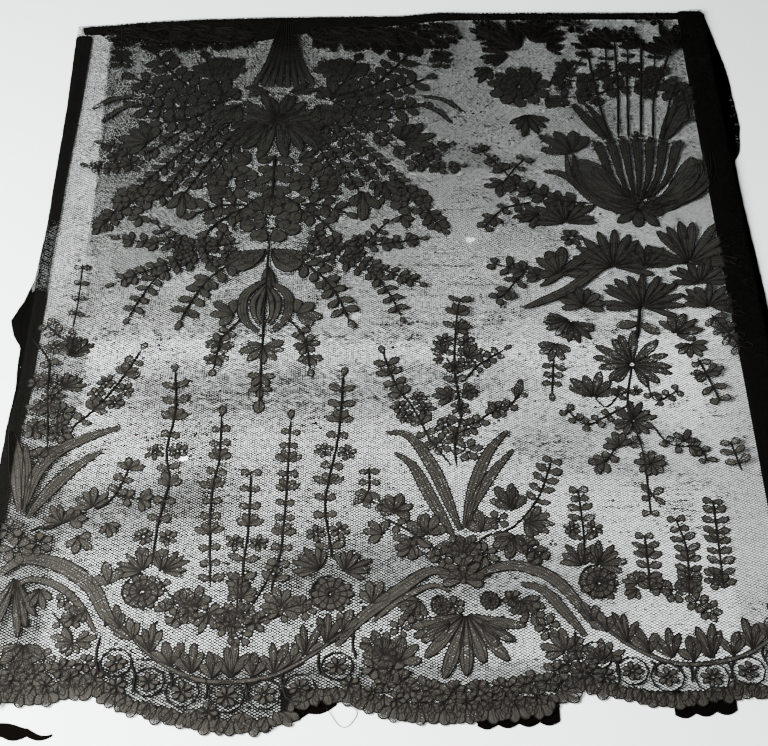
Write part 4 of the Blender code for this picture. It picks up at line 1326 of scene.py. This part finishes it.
# Columns: x, y, size
SPIRALS = (
    (-192, -285, 15), (-50, -287, 15), (33, -297, 8), (70, -293, 7.5), (152, -277, 14.5),
)
# Columns: places from foot to tip, what grows at its nodes, size, share where they start
ARCH_STEMS = (
    (((-121, -317), (-120, -297), (-120, -280)), "lt", 0.80, 0.45),
    (((-121, -317), (-104, -312), (-86, -305)), "lb", 0.80, 0.45),
    (((-123, -316), (-122, -326)), "p", 0.80, 0.60),
    (((-182, -271), (-168, -290), (-143, -301), (-127, -311)), "bbllb", 0.80, 0.12),
    (((-92, -259), (-103, -285), (-114, -306)), "bb", 0.80, 0.10),
    (((-257, -303), (-242, -320), (-239, -330)), "bt", 0.80, 0.30),
    (((75, -294), (86, -291), (96, -296)), "bb", 0.70, 0.40),
)
REPEAT = 0.350           # from one garland to the next
REPEAT_RISE = 0.006      # the right end of the hem lies a little further back
REPEAT_SLOPE = 0.12      # and the copy rises by this share of the way to its right end
WINDOW_RING = 1.55       # ring of a window, in sizes of its flower
RING_HALF = 0.0008       # and half the width of its thread


def border():
    """The left repeat and the middle as placed, and a copy of the garland on the right."""
    garland = new_work()
    lay_blades(garland, GARLAND, 0.5)
    lay_posts(garland, POSTS, 10)
    lay_fans(garland, GARLAND_LEAVES)
    for *lengths, petals in ROUNDELS:
        x, y, size = np.multiply(lengths, MM)
        flower(garland, x, y, size, petals, 50 * x)
        ring(garland, x, y, WINDOW_RING * size, RING_HALF)
    middle = new_work()
    lay_blades(middle, ARCHES, 0.4)
    lay_fans(middle, ARCH_LEAVES)
    lay_flowers(middle, ARCH_FLOWERS)
    lay_fans(middle, PALMETTE)
    lay_stems(middle, ARCH_STEMS)
    for row in np.multiply(SPIRALS, MM):
        spiral(middle, *row)
    right = shift(garland, REPEAT, REPEAT_RISE, REPEAT_SLOPE, ROUNDELS[0][0] * MM)
    return join(garland, middle, right)


on_net += sew("border", border())

# %% [markdown]
# ## The scalloped edge
# Below the windows the lace is worked solid. Rows of petals follow the hem: the outermost stand in
# groups of three and make the lobes of the edge, with a flower on every group and leaves behind.

# %% Scalloped edge
HEM_ENDS = (-0.312, 0.313)
WINDOW = 0.0200          # no flower of the upper row closer than this to a roundel
CLEAR = 0.0165           # and none of the lower row closer than this
# How far behind the hem each row stands: lobes, flowers on them, leaves in front of a window and
# elsewhere, and the upper row of flowers
LOBES_IN, LOWER_IN, CLOSE_IN, LEAVES_IN, UPPER_IN = 0.0108, 0.0150, 0.0120, 0.0160, 0.0255
LOBE_APART, LOBE_TURN, LOBE_WIDE = 0.0032, 0.42, 0.0078
LOWER_SIZE, LEAVES_SIZE, UPPER_SIZE = 0.0072, 0.0135, 0.0078


def hem_frame(x):
    """Place on the hem and the direction straight out of it."""
    y = hem_at(x)
    slope = (hem_at(x + 0.002) - hem_at(x - 0.002)) / 0.004
    return y, np.arctan2(-1.0, slope)


def edge_rows():
    """The lobes in threes, then the flowers on them, then the leaves and flowers behind."""
    work = new_work()
    x = np.arange(HEM_ENDS[0] + LOBE_PITCH / 2, HEM_ENDS[1], LOBE_PITCH)
    y, out = hem_frame(x)
    for k in (-1.0, 0.0, 1.0):
        reach = LOBE_DEPTH + 0.0105 - 0.0018 * abs(k)
        add_leaves(work, x + LOBE_APART * k, y + LOBES_IN, out + LOBE_TURN * k, reach, LOBE_WIDE,
                   0.2 * k, 0.0)
    windows = np.multiply(ROUNDELS, MM)[:, :2]
    moved = windows + (REPEAT, REPEAT_RISE)
    moved[:, 1] += REPEAT_SLOPE * (windows[:, 0] - windows[0, 0])
    windows = np.vstack([windows, moved])

    def free(px, py):
        return np.hypot(*(windows - (px, py)).T).min()

    for px, py in zip(x, y):
        if free(px, py + LOWER_IN) > CLEAR:
            flower(work, px, py + LOWER_IN, LOWER_SIZE, 6, 40 * px)
    x = np.arange(HEM_ENDS[0] + LOBE_PITCH, HEM_ENDS[1], LOBE_PITCH)
    y, out = hem_frame(x)
    for px, py, po in zip(x, y, out):
        low = LEAVES_IN if free(px, py + LEAVES_IN) > CLEAR else CLOSE_IN
        fan(work, px, py + low, po, 1.5, 3, LEAVES_SIZE, 0.1)
        if free(px, py + UPPER_IN) > WINDOW:
            flower(work, px, py + UPPER_IN, UPPER_SIZE, 6, 33 * px)
    return work


on_net += sew("edging", edge_rows())

# %% [markdown]
# ## Creases and loose threads
# Old net pulls into fine creases that show as thin dark lines. Each one is a narrow pinch of net
# laid along a slightly wavy line, and the table gives its place, length and turn. The edge of the
# second net beneath presses a fine line into it. Beside a lobe of the hem a loop of frayed thread
# lies on the table.

# %% Fine creases
# Columns: x, y, half length (millimetres), turn
CREASES = (
    (-262, 142, 22, -0.06), (-292, 20, 16, -0.03), (-276, -12, 18, 0.05), (-255, 86, 14, 0.12),
    (-268, 196, 10, -0.20), (-285, 250, 12, -0.30), (-200, -48, 20, 0.04), (-158, -96, 12, -0.10),
    (-60, -32, 24, 0.03), (-20, -40, 18, -0.05), (20, -18, 22, 0.02), (12, 12, 30, 0.06),
    (40, 50, 26, -0.02), (86, 60, 20, 0.04), (60, 120, 22, 0.10), (46, 160, 20, 0.22),
    (60, 200, 24, 0.28), (52, 244, 18, 0.34), (70, 26, 30, 0.00), (104, -40, 22, 0.03),
    (80, -56, 14, -0.06), (-4, -100, 16, 0.05), (-60, -120, 16, 0.04), (150, -160, 16, 0.02),
    (132, -196, 14, -0.04), (262, -118, 14, 0.03), (276, -60, 16, 0.02), (272, 12, 12, -0.03),
    (236, -184, 14, 0.05), (172, -208, 12, 0.02), (-212, -180, 16, 0.05), (-120, -160, 14, -0.04),
    (-116, -206, 12, 0.03), (-240, -100, 14, 0.04), (-210, -10, 18, 0.10), (-30, 108, 16, 0.10),
    (90, 360, 20, 0.10), (62, 330, 18, 0.20), (50, 290, 18, 0.30), (120, -90, 18, 0.02),
    (20, 84, 22, 0.05), (50, -2, 20, -0.03),
)
CREASE_HALF, CREASE_RISE = 0.00030, 0.00045


def creases():
    """Strips along lines that sway by two sines, thinner towards their ends."""
    x, y, half, turn = (np.array(CREASES) * (MM, MM, MM, 1)).T[:, :, None]
    t = np.linspace(-1, 1, 16)[None]
    wave = 0.0009 * np.sin(5.0 * t + 60 * x) + 0.0005 * np.sin(13.0 * t + 90 * y)
    path = np.stack([x + half * t * np.cos(turn) - wave * np.sin(turn),
                     y + half * t * np.sin(turn) + wave * np.cos(turn)], -1)
    width = CREASE_HALF * (1 - 0.8 * t**2) * np.ones_like(x)
    return lens(path, width, NET_LIFT + NET_THICK, CREASE_RISE)


# Columns: x, y (millimetres)
FRAYED = ((-51.3, -381.5), (-46.9, -387.8), (-42.6, -394.1), (-37.6, -396.4), (-32.7, -392.5),
          (-29.2, -384.7), (-34.3, -380.0))
FRAYED_HALF, PRESSED_HALF = 0.00024, 0.00027  # half widths of the loose and the pressed line


def frayed_loop():
    """A thread from the hem down to the table and back up to the hem."""
    points, faces = cord_rings(route(np.multiply(FRAYED, MM), 40)[None], FRAYED_HALF)
    t = np.linspace(0, 1, 40)[None, :, None]
    down = soft(5 * t) * soft(5 * (1 - t))
    points[..., 2] -= down * cloth_z(points[..., 0], points[..., 1])
    return points, faces


pinch = mesh_piece("fine_creases", [creases()], clothwork)
under_edge = cord_rings(route(SECOND_LEFT[:, ::-1], 90)[None], PRESSED_HALF)
loose = mesh_piece("loose_threads", [frayed_loop(), under_edge], thread)
on_net += [pinch, loose]

# %% [markdown]
# ## The stacks of folded layers
# Under the left, back and right folds lie the other layers of the shawl. From above they are a dark
# band; at the side their edges step out past each other. Each stack is one profile of rounded layer
# edges carried along its fold, and every layer's edge sways a little on its own.

# %% Stacks
LAYERS = 6
# From the lowest layer up: share of the way to the stack's outer edge, and distance behind it
LAYER_REACH = (1.0, 0.9, 0.4, 0.2, 0.0, 0.0)
LAYER_INSET = (0.0, 0.0, 0.0, 0.0, 0.0008, 0.0019)
LAYER_SWAY = 0.0004
# The rounded edge of one layer, from its top down, in layer thicknesses: distance back, height
LAYER_ROUND = ((0.45, 1.0), (0.0, 0.62), (0.12, 0.25))
LAYER_STEP = 0.8         # how far back the slit between two layers goes, in thicknesses
INNER_BEVEL = 0.0012     # cut off the stack's lower inner edge
TOP_INSET = 0.0040       # from its inner side to where its top is flat
END_SHRINK = 0.97
ALONG_STEP = 0.0035      # from one profile to the next
ROLL_INWARD = 0.0090     # how far the right roll reaches in under the net, past its CAD solid


def stack_profile(table, along, height, inward):
    """Across and up for every point of the profile at every place along the fold. The lowest two
    layers reach the stack's outer edge, and the others stay near the fold."""
    fold, inner, lowest = (edge(table, along, column) for column in (FOLD, INNER, LOWEST))
    out = np.sign(fold.mean() - inner.mean())
    inner = inner - out * inward
    thick = height / LAYERS
    bevelled = inner + out * INNER_BEVEL
    across = [bevelled, inner, bevelled, inner + out * TOP_INSET]
    up = [0.0, INNER_BEVEL, height - 0.0001, height]
    for layer in range(LAYERS - 1, -1, -1):
        wave = LAYER_SWAY * (np.sin(95 * along + 2.1 * layer)
                             + 0.6 * np.sin(233 * along + 4.7 * layer))
        reach = fold + (lowest - fold) * LAYER_REACH[layer] - out * (
            LAYER_INSET[layer] + np.abs(wave))
        for back, lift in LAYER_ROUND:
            across.append(reach - out * thick * back)
            up.append((layer + lift) * thick)
        across.append(reach - out * thick * LAYER_STEP)
        up.append(layer * thick + 0.00002)
    across = np.stack(across, 1)
    return across, np.broadcast_to(np.array(up), across.shape)


def stack_piece(name, table, height, start, stop, axis, density, inward=0.0):
    """One profile carried along the fold. Its first and last rows shrink nearly to a point, which
    closes the ends. density gives the share of solid cloth at each place."""
    along = np.arange(start, stop, ALONG_STEP)
    along = np.concatenate([[start + 0.0001], along[1:], [stop - 0.0001]])
    across, up = stack_profile(table, along, height, inward)
    middle = across.mean(1, keepdims=True)
    ends = np.zeros(len(along))
    ends[[0, -1]] = END_SHRINK
    across = across + (middle - across) * ends[:, None]
    up = up + (height / 2 - up) * ends[:, None]
    run = np.broadcast_to(along[:, None], across.shape)
    place = (across, run, up) if axis == "y" else (run, across, up)
    points = np.stack(place, -1)
    thing = mesh_piece(name, [(points, quads(1, *across.shape, wrap_columns=True))], stack_lace)
    amount = density(points[..., 0], points[..., 1]).ravel()
    thing.data.attributes.new("cloth_share", "FLOAT", "POINT").data.foreach_set("value", amount)
    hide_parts(name.replace("_stack", "_layers"))
    return thing


def left_density(x, y):
    """Dark at the back and where the flap sticks out, and thin net between."""
    places = (-0.36, -0.30, -0.12, -0.09, -0.04, 0.012, 0.030, 0.090, 0.120, 0.36)
    amounts = (1.0, 0.9, 0.70, 0.60, 0.72, 0.80, 0.10, 0.10, 0.95, 1.0)
    return np.interp(y, places, amounts)


def right_density(x, y):
    """Dark, with pale bits along the flap's outer edge and down the outer strip."""
    outward = np.clip((x - edge(RIGHT, y, FOLD)) / 0.006, 0, 1)
    places = (-0.36, 0.05, 0.10, 0.19, 0.22, 0.34)
    amounts = (0.3, 0.45, 0.6, 0.6, 0.5, 0.4)
    return 1.0 - outward * np.interp(y, places, amounts)


left_stack = stack_piece("left_stack", LEFT, LEFT_HEIGHT, -0.3600, 0.3670, "y", left_density)
back_stack = stack_piece("back_stack", BACK, BACK_HEIGHT, -0.3155, 0.2978, "x",
                         lambda x, y: np.ones(x.shape))
right_stack = stack_piece("right_stack", RIGHT, RIGHT_HEIGHT, -0.3600, 0.4055, "y", right_density,
                          ROLL_INWARD)

# %% [markdown]
# ## The lower hems
# Here and there the scalloped hem of a lower layer peeps out in front. It is the same lace, two or
# three layers deep, so it is nearly solid and brown-black.


# %% Lower hems
TAPER = 0.8              # share of its depth that the left one loses towards its right end
HEM_THICK = 0.0006


def lower_hem(row):
    """A grid from the tucked side to the lobed edge: the edge is a straight line less the arches
    of a sine. The left one lies open and runs out thin at its right end."""
    name, x0, x1, edge0, edge1, tucked = row
    taper = TAPER if name == "hem_left" else 0.0
    lobes = max(round((x1 - x0) / LOBE_PITCH), 1)
    t, v = np.linspace(0, 1, 12 * lobes + 1), np.linspace(0, 1, 8)
    front = edge0 + (edge1 - edge0) * t - LOBE_DEPTH * abs(np.sin(np.pi * lobes * t))
    x = np.broadcast_to(x0 + (x1 - x0) * t, (len(v), len(t)))
    depth = (tucked - front) * (1 - taper * soft((t - 0.5) / 0.5))
    y = front[None] + depth[None] * v[:, None]
    z = np.full(x.shape, NET_LIFT) + 0.0002 * np.sin(180 * x) ** 2
    thing = mesh_piece(name.replace("hem_", "lower_hem_"),
                       [(np.stack([x, y, z], -1), quads(1, *x.shape))], hem_lace)
    amount = (np.interp(v, (0.0, 0.5), (0.50, 1.0))[:, None] * np.ones_like(x)).ravel()
    thing.data.attributes.new("cloth_share", "FLOAT", "POINT").data.foreach_set("value", amount)
    thin_shell(thing, HEM_THICK)
    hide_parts(name)
    return thing


lower_hems = [lower_hem(row) for row in LOWER_HEMS]

# %% [markdown]

# %% [markdown]
# ## Floor, light and camera
# The floor is plain and pale. A wide soft lamp hangs over the front left, and the world fills in
# the shadows. The camera has a lens of 75 mm and looks down steeply over the hem.


# %% Stage
FLOOR_COLOUR = (0.765, 0.815, 0.797, 1.0)
WORLD_COLOUR = (0.96, 0.98, 1.0, 1.0)
CAMERA_AT = (-0.010, -0.921, 1.034)
CAMERA_TILT = 39.4       # degrees from straight down


def floor_material():
    """Matt and evenly pale."""
    material, _, _, shader = new_material("pale_floor")
    shader.inputs["Base Color"].default_value = FLOOR_COLOUR
    shader.inputs["Roughness"].default_value = 0.6
    return material


bpy.ops.mesh.primitive_plane_add(size=8.0, location=(0, 0, 0))
floor = bpy.context.object
floor.name = "floor"
floor.data.materials.append(floor_material())

world = bpy.data.worlds.new("studio")
bpy.context.scene.world = world
world.use_nodes = True
sky = world.node_tree.nodes["Background"]
sky.inputs["Color"].default_value = WORLD_COLOUR
sky.inputs["Strength"].default_value = 0.45


def soft_lamp(name, place, aim, size, power):
    """A square lamp that faces its aim."""
    lamp = bpy.data.lights.new(name, "AREA")
    lamp.size = size
    lamp.energy = power
    thing = bpy.data.objects.new(name, lamp)
    bpy.context.scene.collection.objects.link(thing)
    thing.location = place
    direction = np.array(aim, float) - np.array(place, float)
    thing.rotation_euler = Vector(direction).to_track_quat("-Z", "Y").to_euler()
    return thing


soft_lamp("key", place=(-0.85, -0.50, 0.75), aim=(-0.15, -0.05, 0.0), size=0.7, power=118.0)

camera = bpy.data.cameras.new("camera")
camera.lens = 75.0
camera.sensor_width = 36.0
camera.sensor_fit = "HORIZONTAL"
viewer = bpy.data.objects.new("camera", camera)
bpy.context.scene.collection.objects.link(viewer)
viewer.location = CAMERA_AT
viewer.rotation_euler = (np.radians(CAMERA_TILT), 0.0, 0.0)
bpy.context.scene.camera = viewer
